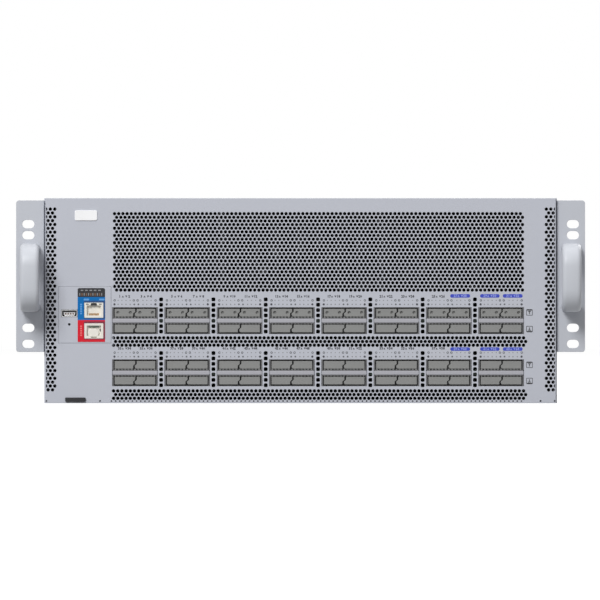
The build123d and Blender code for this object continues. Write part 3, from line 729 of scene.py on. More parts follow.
rim_radius = 0.3
seam, seam_depth, flange_depth, flange_sheet, edge_drop = 1.1, 8.0, 22.0, 0.7, 0.02
hole_pitch = 3.547
hole_radius, strip_hole_radius, side_hole_radius, lowest_hole_radius = 1.48, 1.52, 1.5, 0.75
strip_x, strip_columns, strip_rows, strip_rise = -160.34, 99, 3, 3.13
middle_strip_z, bottom_strip_z = 47.7, 2.72
lowest_row_z, lowest_row_rise = 1.0, 1.72
side_x, side_z, side_columns, side_rows, side_pitch, side_rise = -216.0, 9.82, 2, 48, 3.8, 3.26
vent_size, vents_across, vents_up, vent_step = 3.3, 7, 7, 4.54
vent_field_z = (74.5, 28.97)
pin_hole_x, pin_hole_z, pin_hole_radius = (-170.0, 203.5, -215.6, 215.6), 1.9, 0.85
plate_x, plate_z, plate_width, plate_height, plate_play = -183.0, 75.0, 44.6, 47.8, 0.3
tag_slot = rectangle(-190.9, 4.2, 15.0, 1.4)

intake_grid = (-159.5, 94.51, 98, 22, hole_pitch, 3.083)
piece("intake_perforation", punched(*intake_grid, hole_radius, 1), panel_paint, soft_angle=25)

half_hole = [(max(x, 0.08), z) for x, z in circle(0, 0, side_hole_radius, 10)]
half_end = end_cell(side_pitch / 2, side_rise, half_hole)
left_side = punched(side_x, side_z, side_columns, side_rows, side_pitch, side_rise, side_hole_radius, left=half_end)
strip_grids = [
    (strip_x, z, strip_columns, strip_rows, hole_pitch, strip_rise) for z in (middle_strip_z, bottom_strip_z)
]
strips = [punched(*grid, strip_hole_radius) for grid in strip_grids]
lowest_x = strip_x - hole_pitch / 2
lowest_row = punched(lowest_x, lowest_row_z, strip_columns, 1, hole_pitch, lowest_row_rise, lowest_hole_radius)
strip_width = (strip_columns + 0.5) * hole_pitch
strip_top = bottom_strip_z + strip_rows * strip_rise
strip_right = strip_x + strip_width
lowest_right = lowest_x + strip_width
side_width, side_height = (side_columns + 0.5) * side_pitch, side_rows * side_rise

square_vent = loop_mesh(rounded(0, 0, vent_size, vent_size, 0.9, 2))
vent_field = in_rows(square_vent, vents_across, cage_pitch, vents_up, vent_step)
opening_row = in_rows(loop_mesh(rectangle(0, 0, opening_width, pair_height)), cages_in_row, cage_pitch)
vents = [moved(vent_field, port_field_x, z) for z in vent_field_z]
openings = [moved(opening_row, port_field_x, z) for z in pair_z]
cut_lines = together(
    loop_mesh(
        rectangle(0, panel_top / 2, 2 * (half_width - seam - rim_radius), panel_top - 2 * (rim_radius + edge_drop)),
        field_loop(*intake_grid),
        field_loop(*strip_grids[0]),
        [
            (lowest_x, lowest_row_z),
            (lowest_right, lowest_row_z),
            (lowest_right, bottom_strip_z),
            (strip_right, bottom_strip_z),
            (strip_right, strip_top),
            (strip_x, strip_top),
            (strip_x, bottom_strip_z),
            (lowest_x, bottom_strip_z),
        ],
        rectangle(side_x + side_width / 2, side_z + side_height / 2, side_width, side_height),
        rectangle(-side_x - side_width / 2, side_z + side_height / 2, side_width, side_height),
        rectangle(plate_x, plate_z, plate_width + plate_play, plate_height + plate_play),
        tag_slot,
        *[circle(x, pin_hole_z, pin_hole_radius, 10) for x in pin_hole_x],
    ),
    *vents,
    *openings,
)
panel_face = moved(cut_sheet.make(cut_lines, thickness=sheet), y=front_y + sheet, turn=UPRIGHT)


def folded_rim():
    """The panel's four edges, bent back round the chassis, with a step that leaves the seam by each ear."""
    halfway = rim_radius * 0.3
    section = [
        (seam + rim_radius, edge_drop + rim_radius, 0.0),
        (seam + halfway, edge_drop + halfway, halfway),
        (seam, edge_drop, rim_radius),
        (seam, edge_drop, seam_depth),
        (0.0, 0.0, seam_depth),
        (0.0, 0.0, flange_depth),
        (flange_sheet, sheet, flange_depth),
        (seam + flange_sheet, sheet, sheet),
        (seam + rim_radius, edge_drop + rim_radius, sheet),
    ]
    shape = bmesh.new()
    rings = []
    for inset, drop, depth in section:
        corners = rectangle(0, panel_top / 2, 2 * (half_width - inset), panel_top - 2 * drop)
        rings.append([shape.verts.new((x, front_y + depth, z)) for x, z in corners])
    faces_between(shape, rings + rings[:1])
    return mended(shape)


piece(
    "front_panel_sheet",
    together(panel_face, folded_rim(), *strips, lowest_row, left_side, mirrored(left_side)),
    panel_paint,
    "front_panel",
    soft_angle=25,
)


# Rack ears and front handles ----------------------------------------------

ear_slot_x, ear_slot_z = 231.0, (50.4, 64.0, 142.6, 152.0)
ear_slot_width, ear_slot_height, ear_slot_radius = 10.3, 7.0, 3.49
ear_screws_x, ear_screws_y, ear_screws_z = 219.7, (-322.0, -292.0, -262.0), (62.0, 152.0)
ear_hole_radius, ear_bend, ear_edge, bend_inset = 2.1, 2.5, 0.3, 0.02
face_corner, leg_corner, bend_corner = 2.4, 5, 0.7
TO_RIGHT = Matrix.Rotation(radians(90), 4, "Z")
TO_TOP = Matrix.Rotation(radians(-90), 4, "X")


def rack_ear():
    """Angle bracket on the right: a slotted face, a leg along the chassis and the bend between them."""
    low, high = box_mm("rack_ear_right")
    start = low.x + bend_corner
    face_outline = [(start, low.z), (high.x, low.z), (high.x, high.z), (start, high.z)]
    slots = [rounded(ear_slot_x, z, ear_slot_width, ear_slot_height, ear_slot_radius, 6) for z in ear_slot_z]
    face_loop = round_off(face_outline, [0, face_corner, face_corner, 0])
    face = plate([face_loop, *slots], low.y, low.y + ear_bend, edge=ear_edge)
    leg_outline = [(low.y + 1, low.z), (high.y, low.z), (high.y, high.z), (low.y + 1, high.z)]
    holes = [circle(y, z, ear_hole_radius, 16) for y in ear_screws_y for z in ear_screws_z]
    leg_loop = round_off(leg_outline, [0, leg_corner, leg_corner, 0])
    leg = plate([leg_loop, *holes], low.x, low.x + ear_bend, SIDEWAYS, ear_edge)
    near, left, back, right = low.y + bend_inset, low.x + bend_inset, low.y + ear_bend, low.x + ear_bend
    square = [(left, back), (left, near), (right, near), (right, back)]
    corner = plate([round_off(square, [0, bend_corner, 0, 0])], low.z + 0.2, high.z - 0.2, LEVEL)
    return together(face, leg, corner)


def screw(head, depth):
    """Flush socket screw about the origin, its face towards -Y."""
    socket, rim, shank = head * 0.42, head * 0.86, head * 0.7
    profile = [(0, 0.9), (socket, 0.9), (socket, 0.0), (rim, 0.0), (head, 0.25), (shank, depth), (0, depth)]
    return turned(profile, 0, 0, 12)


on_both_sides("rack_ear_face", rack_ear(), ear_paint, "rack_ear")
ear_screw = screw(2.0, 3.5)
ear_screws = [moved(ear_screw, ear_screws_x, y, z, TO_RIGHT) for y in ear_screws_y for z in ear_screws_z]
on_both_sides("ear_screws", together(*ear_screws), screw_metal)

handle_low, handle_high = box_mm("front_handle_right")
handle = bow(
    handle_low, handle_high, handle_high.y, handle_low.y,
    leg=8.0, grip=10.0, corner=19.0, inner=8.0, edge=3.8, sink=2.0, steps=4
)
on_both_sides("front_handle_bar", handle, handle_paint, "front_handle", soft_angle=60, crisp=False)


# Port cages and dust plugs ------------------------------------------------

cell_width, cell_height, cell_pitch, cell_depth = 15.9, 8.2, 18.4, 46.0
lip_depth = 7.0
mouth_width, mouth_height = 36.2, 8.6
finger_pitch, finger_width, fingers_across = 2.76, 1.16, 13


def cage():
    """One double cage about x = 0, z = 0: a thin lip round the mouth, two cells and a back."""
    outline = rectangle(0, 0, cage_width, cage_height)
    lip = plate([outline, rectangle(0, 0, mouth_width, mouth_height)], front_y + 0.1, front_y + lip_depth, edge=0.1)
    cells = [rectangle(side * cell_pitch / 2, 0, cell_width, cell_height) for side in (-1, 1)]
    shell = plate([outline, *cells], front_y + lip_depth, front_y + cell_depth)
    back = plate([outline], front_y + cell_depth, front_y + cage_length)
    return together(lip, shell, back)


def fingers(side):
    """Spring fingers along the upper (1) or lower (-1) edge of a cage's mouth, each bowed towards the plug."""
    profile = [(0.15, 4.4), (0.15, 3.9), (0.9, 3.35), (1.6, 3.45), (2.5, 4.1), (2.5, 4.4)]
    outline = [(front_y + y, side * z) for y, z in profile]
    return in_rows(plate([outline], -finger_width / 2, finger_width / 2, SIDEWAYS), fingers_across, finger_pitch)


def bridges():
    """Bars between the two cages of each pair, a little behind the panel's face, their long edges rounded."""
    height = row_gap - cage_height - 0.1
    bar = block((-cage_width / 2, front_y + 0.3, -height / 2), (cage_width / 2, front_y + 6.0, height / 2), 0.9, 3)
    return together(*[over_cages(bar, z) for z in pair_z])


piece("cage_bridges", bridges(), bridge_metal_shaded)

plug_half_height, plug_end = 3.3, 17.3
plug_gap_lean, plug_gap_half, plug_step_half = 0.85, 0.6, 0.7
plug_front, plug_face_back, plug_neck_back, plug_back = (front_y + depth for depth in (0.8, 2.3, 10.3, 14.8))
blind_hole_x, blind_hole_z, blind_hole_radius = (-14.5, -3.9, 4.2, 14.9), 0.15, 1.25


def plug_pair(with_holes):
    """The two dust plugs of a cage about x = 0, z = 0; their stepped edges meet in the middle."""
    high = plug_gap_lean - plug_gap_half
    low = -plug_gap_lean - plug_gap_half
    left = [(-plug_end, -plug_half_height), (low, -plug_half_height), (low, -plug_step_half), (high, plug_step_half)]
    left += [(high, plug_half_height), (-plug_end, plug_half_height)]
    right = [(-x, -z) for x, z in left]
    parts = []
    for side, outline, corners in ((-1, left, 0.3), (1, right, [0.3, 0.3, 0.3, 0.3, 1.5, 0.3])):
        hole_places = [x for x in blind_hole_x if x * side > 0] if with_holes else []
        holes = [circle(x, blind_hole_z, blind_hole_radius, 12) for x in hole_places]
        middle = side * cell_pitch / 2
        neck = rectangle(middle, 0, cell_width - 0.5, 2 * plug_half_height)
        base = rectangle(middle, 0, cell_width - 0.1, cell_height - 0.1)
        parts.append(plate([round_off(outline, corners, 2), *holes], plug_front, plug_face_back, edge=0.28))
        parts.append(plate([neck], plug_face_back, plug_neck_back))
        parts.append(plate([base], plug_neck_back, plug_back))
    return together(*parts)


for row, z in enumerate(row_z, start=1):
    finger_side = -1 if row % 2 else 1
    piece(f"cage_row_{row}", over_cages(cage(), z), cage_metal_shaded, f"port_cages_row_{row}")
    piece(f"spring_fingers_row_{row}", over_cages(fingers(finger_side), z), finger_metal)
    piece(f"plug_row_{row}", over_cages(plug_pair(row == 1), z), plug_grey, f"dust_plugs_row_{row}")


# Marks round the ports ----------------------------------------------------

INK_FRONT, INK_BACK = front_y - 0.05, front_y + 0.02
block_mark_z = (87.3, 43.0)
lamp_row_drop = 3.4
ring_marks_x = (-17.2, -1.0, 2.2, 17.5)
dark_lamps_x = (-17.4, 17.35)
middle_lamps_x = (-0.6, 2.9)
faint_lamps_x = (-14.3, -11.1, -7.6, -4.1, 6.8, 10.0, 13.7)
number_z = (90.6, 46.5)
number_row_x = (-8.9, 9.5)
digit_size, digit_weight, digit_shift = 3.0, 0.14, 4.0
bar_places = ((135.3, 16.8), (160.45, 16.5), (179.85, 16.7))
bar_z, bar_height, over_bar = (91.1, 46.0), 3.0, -0.04
cells_in_row = 2 * cages_in_row
first_on_bar = cells_in_row - len(bar_places)
icon_x, icon_places = 194.05, ((1, 77.0), (1, 32.6), (-1, 63.0), (-1, 19.0))


def printed(*loops):
    """A printed mark on the front panel."""
    return plate(list(loops), INK_FRONT, INK_BACK)


def dots(places, radius, sides, *holes):
    """A line of printed dots, or of rings where the radius of their hole is given."""
    return together(
        *[printed(circle(x, 0, radius, sides), *[circle(x, 0, hole, 10) for hole in holes]) for x in places]
    )


def on_blocks(unit, drop=0.0):
    """A line of marks, above the cages of the upper and of the lower block."""
    return [over_cages(unit, z - drop) for z in block_mark_z]


def number(value, x):
    """A plain number as a thin solid, centred on x in the drawing plane of the panel."""
    curve = bpy.data.curves.new("number", "FONT")
    curve.body = str(value)
    curve.size = digit_size
    curve.align_x = "CENTER"
    curve.align_y = "CENTER"
    curve.extrude = (INK_BACK - INK_FRONT) / 2
    curve.resolution_u = 1
    curve.offset = digit_weight
    return moved(filled(curve), x, (INK_FRONT + INK_BACK) / 2, turn=UPRIGHT)


def port_mark(first, second):
    """Two port numbers with an arrow up beside the first and an arrow down beside the second."""
    up = printed([(-2.3, -0.8), (-0.5, -0.8), (-1.4, 0.8)])
    down = printed([(0.5, 0.8), (1.5, -0.9), (2.5, 0.8)])
    return together(number(first, -digit_shift), up, down, number(second, digit_shift))


rings = on_blocks(dots(ring_marks_x, 1.0, 12, 0.45))
middle_lamps = on_blocks(dots(middle_lamps_x, 0.75, 12), lamp_row_drop)
dark_lamps = on_blocks(dots(dark_lamps_x, 0.95, 12), lamp_row_drop)
faint_lamps = on_blocks(dots(faint_lamps_x, 0.6, 10), lamp_row_drop)
top_specks = on_blocks(dots(faint_lamps_x, 0.5, 8))
piece("lamp_rings", together(*rings, *middle_lamps), ink_grey)
piece("lamp_marks", together(*dark_lamps), ink_dark)
piece("lamp_windows", together(*faint_lamps, *top_specks), lens_clear)

plain_marks, bar_marks = [], []
for group, z in enumerate(number_z):
    for place in range(cells_in_row):
        first = 2 * (cells_in_row * group + place) + 1
        mark = port_mark(first, first + 1)
        if place < first_on_bar:
            cage_x = port_field_x + (place // 2 - (cages_in_row - 1) / 2) * cage_pitch
            plain_marks.append(moved(mark, cage_x + number_row_x[place % 2], 0, z))
        else:
            bar_marks.append(moved(mark, bar_places[place - first_on_bar][0], over_bar, bar_z[group]))
bars = [printed(rounded(x, z, width, bar_height, 1.3, 4)) for x, width in bar_places for z in bar_z]
piece("port_numbers", together(*plain_marks), ink_dark)
piece("bar_numbers", together(*bar_marks), ink_pale_blue)
piece("blue_bars", together(*bars), ink_blue)


def row_icon(upright):
    """A small framed mark that tells an upper row of ports from a lower one."""
    frame_loops = [rounded(0, 0, 5.6, 5.2, 0.5, 2), rounded(0, 0, 4.4, 4.0, 0.3, 2)]
    head = printed(rectangle(0, 2.2 * upright, 4.2, 1.1))
    stem = rectangle(0, -0.2 * upright, 0.9, 2.4)
    return together(printed(*frame_loops), head, printed(stem), printed(rectangle(0, 1.0 * upright, 2.6, 0.8)))


icons = [moved(row_icon(upright), icon_x, 0, z) for upright, z in icon_places]
piece("row_icons", together(*icons), ink_grey)


# Management corner --------------------------------------------------------

jack_x, jack_width, jack_height = -175.3, 16.2, 13.0
management_jack_z, console_jack_z = 78.95, 61.4
usb_x, usb_z, usb_width, usb_height = -196.0, 76.3, 13.4, 6.0
button_x, button_z = -196.1, 66.9
contacts, contact_pitch, contact_width = 8, 1.1, 0.64
hole_play = 0.4
label_low, label_high = box_mm("management_label")
label_front = label_low.y
jack_holes = [
    rectangle(jack_x, z, jack_width + hole_play, jack_height + hole_play)
    for z in (management_jack_z, console_jack_z)
]
face_sink, socket_face_back, socket_back = front_y - 0.2, front_y + 2.6, front_y + 16.5


def management_sheet():
    """Plate of the management corner, set in the panel, with a wider border behind and two legs."""
    usb_hole = rectangle(usb_x, usb_z, usb_width + hole_play, usb_height + hole_play)
    holes = [*jack_holes, usb_hole, circle(button_x, button_z, 1.1, 16)]
    outline = rounded(plate_x, plate_z, plate_width, plate_height, 0.6, 3)
    border_width, border_height = plate_width + 4, plate_height + 4
    face = plate([outline, *holes], front_y - 0.02, front_y + sheet, edge=0.25)
    border = rectangle(plate_x, plate_z, border_width, border_height)
    seat = plate([border, *holes], front_y + sheet, front_y + 2 * sheet)
    legs = []
    for end in (-1, 1):
        leg = rectangle(plate_x, plate_z + end * (border_height - sheet) / 2, border_width, sheet)
        legs.append(plate([leg], front_y + 2 * sheet, socket_back))
    return together(face, seat, *legs)


piece("management_sheet", management_sheet(), panel_paint, "management_plate")

label_outline = rounded(*front_of(label_low, label_high), [0.4, 0.4, 1.4, 1.4])
film = plate([label_outline, *jack_holes], label_front, front_y - 0.02, edge=0.05)
piece("management_film", film, label_film, "management_label")
lamp_x = (-185.3, -181.6, -177.9, -174.2, -170.5)
tick_x = (-187.2, -183.45, -179.75, -176.05, -172.35, -168.6)
lamp_z, lamp_width, lamp_height = 92.3, 1.1, 2.2
tick_z, tick_width, tick_height = 92.4, 0.7, 2.2
dash_z, dash_width, dash_height = 95.8, 2.2, 0.9
port_mark_x, port_mark_z = (-181.6, -168.6), 88.0
dot_x, dot_step, dot_width, dot_height = -186.1, 1.9, 1.5, 1.3


def on_film(*loops):
    """A printed mark on the film."""
    return plate(list(loops), label_front - 0.04, label_front + 0.02)


label_lamps = [on_film(rounded(x, lamp_z, lamp_width, lamp_height, 0.25, 2)) for x in lamp_x]
label_ticks = [on_film(rectangle(x, tick_z, tick_width, tick_height)) for x in tick_x]
label_ticks += [on_film(rectangle(x, dash_z, dash_width, dash_height)) for x in lamp_x]
port_marks = [on_film(rounded(x, port_mark_z, 4.6, 1.5, 0.5, 2)) for x in port_mark_x]
piece("label_lamps", together(*label_lamps), lens_amber)
piece("label_ticks", together(*label_ticks), lens_clear)
for name, z, finish, others in (
    ("upper_label_marks", 80.0, label_pale_blue, port_marks),
    ("lower_label_marks", 61.5, label_pale_red, []),
):
    heights = [z + step * dot_step for step in (-2, -1, 0, 1, 2)]
    marks = [on_film(rounded(dot_x, height, dot_width, dot_height, 0.2, 2)) for height in heights]
    piece(name, together(*marks, *others), finish)


def jack_body(z, up):
    """Modular jack: a frame round the mouth, with a latch notch above or below, and a pale floor behind it."""
    mouth = [(-5.95, -4.5), (5.95, -4.5), (5.95, 4.0), (2.7, 4.0), (2.3, 6.0), (-2.3, 6.0), (-2.7, 4.0), (-5.95, 4.0)]
    mouth = [(x + jack_x, height * up + z) for x, height in mouth]
    outline = rounded(jack_x, z, jack_width, jack_height, 0.5, 2)
    front = plate([outline, mouth], face_sink, socket_face_back, edge=0.2)
    return together(front, plate([outline], socket_face_back, socket_back))


def jack_insides(z, up):
    """The darker parts in a jack: a dark plate in its latch notch, painted shade, and the slots beside it; a dark
    spot in the one turned over.
    """
    if up < 0:
        return plate([rounded(jack_x + 5.3, z + 0.7, 0.9, 2.4, 0.2, 2)], front_y + 2.2, socket_face_back)
    notch = [(jack_x + x, z + height) for x, height in ((-2.5, 4.1), (2.5, 4.1), (2.15, 5.9), (-2.15, 5.9))]
    slots = [plate([rounded(jack_x + x, z + 5.1, 2.3, 0.75, 0.2, 2)], front_y - 0.25, front_y) for x in (-5.5, 5.6)]
    # the dark plate just behind the notch's mouth is painted shade of the notch's depth
    return together(plate([notch], front_y + 0.4, socket_face_back), *slots)


def jack_contacts(z, up):
    """The contacts on the side of a jack that is away from its latch."""
    profile = [(0.9, -4.4), (0.9, -3.9), (2.6, -2.5), (2.6, -3.1)]
    outline = [(front_y + y, z + height * up) for y, height in profile]
    contact = plate([outline], jack_x - contact_width / 2, jack_x + contact_width / 2, SIDEWAYS)
    return in_rows(contact, contacts, contact_pitch)


def jack_surround(z):
    """Printed line round a jack, in a darker tone of the field that it is in."""
    outer = rounded(jack_x + 0.5, z + 0.4, jack_width + 1.8, jack_height + 2.4, 0.8, 3)
    return on_film(outer, rectangle(jack_x, z, jack_width, jack_height))


boss_loop = rounded(jack_x - 0.5, console_jack_z - 1.7, 9.4, 6.8, 3.3, 8)
boss = plate([boss_loop], front_y + 0.6, front_y + 2.7, edge=0.5, steps=2)
piece("console_jack_boss", boss, jack_cream)
for name, z, up, edge_ink, contact_finish in (
    ("management_jack", management_jack_z, 1, label_dark_blue, contact_gold),
    ("console_jack", console_jack_z, -1, label_dark_red, contact_green),
):
    piece(f"{name}_body", jack_body(z, up), jack_cream, name)
    piece(f"{name}_shield", jack_insides(z, up), pin_dark)
    piece(f"{name}_surround", jack_surround(z), edge_ink)
    piece(f"{name}_contacts", jack_contacts(z, up), contact_finish)


def usb_frame(less):
    """Outline of the port's shell, smaller by so much in width and height."""
    return rounded(usb_x, usb_z, usb_width - less, usb_height - less, 0.7 - 0.3 * less, 3)


usb_dark_depth = (front_y - 0.18, front_y + 2.0)
usb_end = front_y + 15.0
usb_skirt = [(usb_x + x, usb_z + z) for x, z in ((-4.2, -2.1), (4.2, -2.1), (5.2, 1.0), (-5.2, 1.0))]
usb_shell = together(
    plate([usb_frame(0), usb_frame(1.0)], face_sink, usb_end, edge=0.12),
    plate([rectangle(usb_x, usb_z, usb_width - 0.2, usb_height - 0.2)], usb_end, socket_back),
    plate([usb_skirt], front_y + 2.2, front_y + 3.0, edge=0.15),
)
# the dark bar at the top stands for the tongue and shade on the shell's top wall; the dark bars over the shell's
# sides and the dark plate across the inside are painted shade
usb_tongue_and_shade = together(
    plate([rounded(usb_x, usb_z + 2.2, usb_width, 1.6, 0.3, 2)], *usb_dark_depth, edge=0.1),
    plate([rectangle(usb_x - 6.2, usb_z - 0.5, 1.0, 5.0)], *usb_dark_depth, edge=0.1),
    plate([rectangle(usb_x + 6.2, usb_z + 0.5, 1.0, 3.0)], *usb_dark_depth, edge=0.1),
    plate([rectangle(usb_x, usb_z, usb_width - 1.2, usb_height - 1.2)], front_y + 6.0, front_y + 6.6),
)
usb_contact = plate([rectangle(usb_x, usb_z - 0.4, 1.3, 1.4)], front_y + 2.0, front_y + 2.3)
piece("usb_shell", usb_shell, port_steel, "usb_port")
piece("usb_tongue", usb_tongue_and_shade, pin_dark)
piece("usb_contacts", in_rows(usb_contact, 4, 2.1), contact_brown)

pin_end, switch_end, switch_half = front_y + 12.1, front_y + 15.4, 1.8
pin = [(0, front_y + 1.2), (0.45, front_y + 1.2), (0.6, front_y + 1.4), (0.6, pin_end), (0, pin_end)]
switch = block(
    (button_x - switch_half, pin_end, button_z - switch_half),
    (button_x + switch_half, switch_end, button_z + switch_half),
    0.3,
)
button = together(turned(pin, button_x, button_z, 12), switch)
piece("reset_pin", button, pin_dark, "reset_button", body="reset_button_body")

badge_low, badge_high = box_mm("name_plate")
badge = plate([rounded(*front_of(badge_low, badge_high), 1.3, 4)], badge_low.y, front_y, edge=0.3, steps=2)
piece("blank_badge", badge, badge_white, "name_plate")
tag_low, tag_high = box_mm("info_tag")
tag_x = (tag_low.x + tag_high.x) / 2
tag_head = plate([rounded(*front_of(tag_low, tag_high), 0.6, 3)], tag_low.y, front_y, edge=0.35)
blade_half, blade_low, blade_high = 7.3, 3.7, 4.7
tag_blade = block((tag_x - blade_half, front_y, blade_low), (tag_x + blade_half, tag_high.y, blade_high), 0.2)
piece("pull_tag", together(tag_head, tag_blade), tag_dark, "info_tag", body="info_tag_body")


# Top cover and its screws ------------------------------------------------

cover_low, cover_high = box_mm("top_cover")
cover_screws = [(side * 210.0, y) for side in (-1, 1) for y in (-300, -190, -80, 30, 140, 250, 340)]
cover_screws += [(x, 340) for x in (-126, -42, 42, 126)]
cover_width, cover_hole_radius = 435.0, 3.1
cover_loops = [rounded(0, (cover_low.y + cover_high.y) / 2, cover_width, cover_high.y - cover_low.y, 1.0, 2)]
cover_loops += [circle(x, y, cover_hole_radius, 16) for x, y in cover_screws]
cover = plate(cover_loops, cover_low.z, cover_high.z, LEVEL, 0.25)
piece("cover_sheet", cover, case_paint, "top_cover")
cover_screw = screw(2.9, 3.0)
cover_heads = together(*[moved(cover_screw, x, y, cover_high.z - 0.2, TO_TOP) for x, y in cover_screws])
piece("cover_screws", cover_heads, screw_metal)


# Fan modules --------------------------------------------------------------

fan_ring_front, fan_axis_shift, bore = 312.0, -9.0, 56.0
rotor_middle_y = 331.7
fan_lip = [(bore + 0.2, 312.6), (52.6, 313.6), (52.6, 316), (bore - 1.6, 318), (bore - 1.6, 345), (bore + 0.2, 346)]
spider_hub = [(0, 346), (16, 346), (17, 347), (17, 351), (16, 351.8), (0, 351.8)]
spider_reach, spider_width, spider_front, spider_back = 115, 7, 346.2, 351.6
grille_step, grille_hole = 35.0, 31


def swept_blade(root, tip, depth, sweep, lean, thickness):
    """A fan blade round the origin's Y axis: it climbs from front to back as it goes round."""
    shape = bmesh.new()
    outward, along = 5, 8
    sweep_loss, camber_rise, depth_loss, edge_thinning = 0.06, 0.08, 0.12, 0.75
    sides = []
    for side in (-1, 1):
        grid = []
        for i in range(outward):
            share = i / (outward - 1)
            radius = root + (tip - root) * share
            line = []
            for j in range(along):
                part = j / (along - 1) - 0.5
                angle = part * sweep * (1 - sweep_loss * share) + lean * share**2
                camber = camber_rise * depth * (1 - (2 * part) ** 2)
                y = part * depth * (1 - depth_loss * share) - camber
                y += side * thickness / 2 * (1 - edge_thinning * (2 * part) ** 2)
                line.append(shape.verts.new((radius * cos(angle), y, radius * sin(angle))))
            grid.append(line)
        sides.append(grid)
    for grid in sides:
        for i in range(outward - 1):
            for j in range(along - 1):
                shape.faces.new((grid[i][j], grid[i][j + 1], grid[i + 1][j + 1], grid[i + 1][j]))
    under, over = sides
    for i in range(outward - 1):
        for j in (0, along - 1):
            shape.faces.new((under[i][j], under[i + 1][j], over[i + 1][j], over[i][j]))
    for j in range(along - 1):
        for i in (0, outward - 1):
            shape.faces.new((under[i][j], under[i][j + 1], over[i][j + 1], over[i][j]))
    return mended(shape)


def rotor(x, z, middle_y, hub, length, tip, blades, depth):
    """Fan rotor: a cup-shaped hub and swept blades that overlap, seen along the axis."""
    front, back = middle_y - length / 2, middle_y + length / 2
    rim = hub * 0.14
    profile = [(0, front), (hub - rim, front), (hub, front + rim), (hub, back - rim), (hub - rim, back)]
    profile += [(hub * 0.62, back), (hub * 0.58, back - 0.6), (hub * 0.4, back - 0.6), (hub * 0.36, back), (0, back)]
    blade = swept_blade(hub * 0.9, tip, depth, 2 * pi / blades * 1.08, 0.2, hub * 0.09)
    ring = moved(ring_of_copies.make(blade, count=blades, axis_x=x, axis_z=z), y=middle_y)
    return together(turned(profile, x, z, 32), ring)


def fan_ring(low, high, x, z):
    """Moulded fan housing: a block with a belled bore, a lip round the rotor, and the spider behind it."""
    outline = rounded(*front_of(low, high), 1.0, 2)
    body = plate([outline, circle(x, z, bore, 64)], fan_ring_front, high.y, edge=0.4)
    sizes = ((spider_reach, spider_width), (spider_width, spider_reach))
    arms = [plate([rectangle(x, z, *size)], spider_front, spider_back, edge=0.8, steps=2) for size in sizes]
    return together(body, turned(fan_lip, x, z, 64), turned(spider_hub, x, z, 32), *arms)


def fan_face(low, high, x, z):
    """Outer face of a fan module with a square grid of rounded openings."""
    outline = rounded((low.x + high.x) / 2, z, high.x - low.x, high.z - low.z, 1.2, 3)
    steps = (-grille_step, 0, grille_step)
    holes = [rounded(x + a, z + b, grille_hole, grille_hole, 4, 4) for a in steps for b in steps]
    return plate([outline, *holes], low.y, high.y, edge=0.45, steps=2)


def rear_handle(node, bar, corner, inner, edge):
    low, high = box_mm(node)
    return bow(low, high, low.y, high.y, leg=bar, grip=bar, corner=corner, inner=inner, edge=edge, sink=1.5)


def rear_lamp(x, z, radius, rise):
    """A round lamp in a rear face: a low dome, let in by a millimetre."""
    profile = [(0, rise), (radius * 0.75, rise - 0.2), (radius, 0), (radius, -1), (0, -1)]
    return turned([(across, rear_y + y) for across, y in profile], x, z, 16)


for number_of_fan in (1, 2, 3):
    module = f"fan_module_{number_of_fan}"
    name = f"fan_{number_of_fan}"
    low, high = box_mm(f"{name}_frame")
    middle_x, z, width, height = front_of(low, high)
    x = middle_x + fan_axis_shift
    outline = rounded(middle_x, z, width, height, 1.5, 3)
    inside = rounded(middle_x, z, width - 2 * sheet, height - 2 * sheet, 0.6, 3)
    sleeve = plate([outline, inside], low.y, fan_ring_front, edge=0.2)
    piece(f"{name}_sleeve", sleeve, zinc, f"{name}_frame", body=module)
    piece(f"{name}_ring", fan_ring(low, high, x, z), fan_black, f"{name}_frame", body=module)
    grille_low, grille_high = box_mm(f"{name}_grille")
    piece(f"{name}_face", fan_face(grille_low, grille_high, x, z), case_paint, f"{name}_grille", body=module)
    blades = rotor(x, z, rotor_middle_y, hub=21.0, length=28.0, tip=53.5, blades=7, depth=25.0)
    piece(f"{name}_blades", blades, fan_black, f"{name}_rotor", body=f"fan_rotor_{number_of_fan}", crisp=False)
    grip = rear_handle(f"{name}_handle", bar=8.0, corner=7.0, inner=4.0, edge=2.6)
    piece(f"{name}_grip", grip, grip_black, f"{name}_handle", body=module, soft_angle=60, crisp=False)
    piece(f"{name}_lamp", rear_lamp(x + 69, z + 52, 1.6, 0.7), lens_green, body=module)


# Power supplies -----------------------------------------------------------

window_shift, inlet_shift, latch_shift = 16.0, -27.0, 39.5
inlet_width, inlet_height, inlet_wall, inlet_corner = 27.0, 19.0, 1.6, 4
guard_radii, guard_wire, guard_bar, guard_reach = (5.5, 10.5, 15.5), 0.45, 1.1, 35
inlet_back = rear_y - 20.0
inlet_floor = inlet_back + inlet_wall


def inlet_cup(x, z):
    """Power inlet: a moulded cup, two corners of its mouth cut off."""
    outline = rounded(x, z, inlet_width, inlet_height, 1.2, 3)
    w, h, cut = inlet_width / 2 - inlet_wall, inlet_height / 2 - inlet_wall, inlet_corner
    mouth = [(-w, -h), (w, -h), (w, h - cut), (w - cut, h), (cut - w, h), (-w, h - cut)]
    mouth = round_off([(x + a, z + b) for a, b in mouth], 0.8, 2)
    flange = plate([outline, mouth], inlet_floor, rear_y, edge=0.3)
    return together(flange, plate([outline], inlet_back, inlet_floor))


def inlet_pins(x, z):
    places = ((x - 7, z - 1.6), (x, z + 3.2), (x + 7, z - 1.6))
    return together(*[plate([rectangle(*place, 2, 5)], inlet_floor, rear_y - 3, edge=0.3) for place in places])


def window_guard(x, z):
    """Wire guard over a supply's fan window: three rings on a cross."""
    rings = [turned(circle(radius, rear_y - 0.6, guard_wire, 6), x, z, 40) for radius in guard_radii]
    sizes = ((guard_reach, guard_bar), (guard_bar, guard_reach))
    bars = [plate([rectangle(x, z, *size)], rear_y - 1.4, rear_y - 0.5, edge=0.25) for size in sizes]
    return together(*rings, *bars)


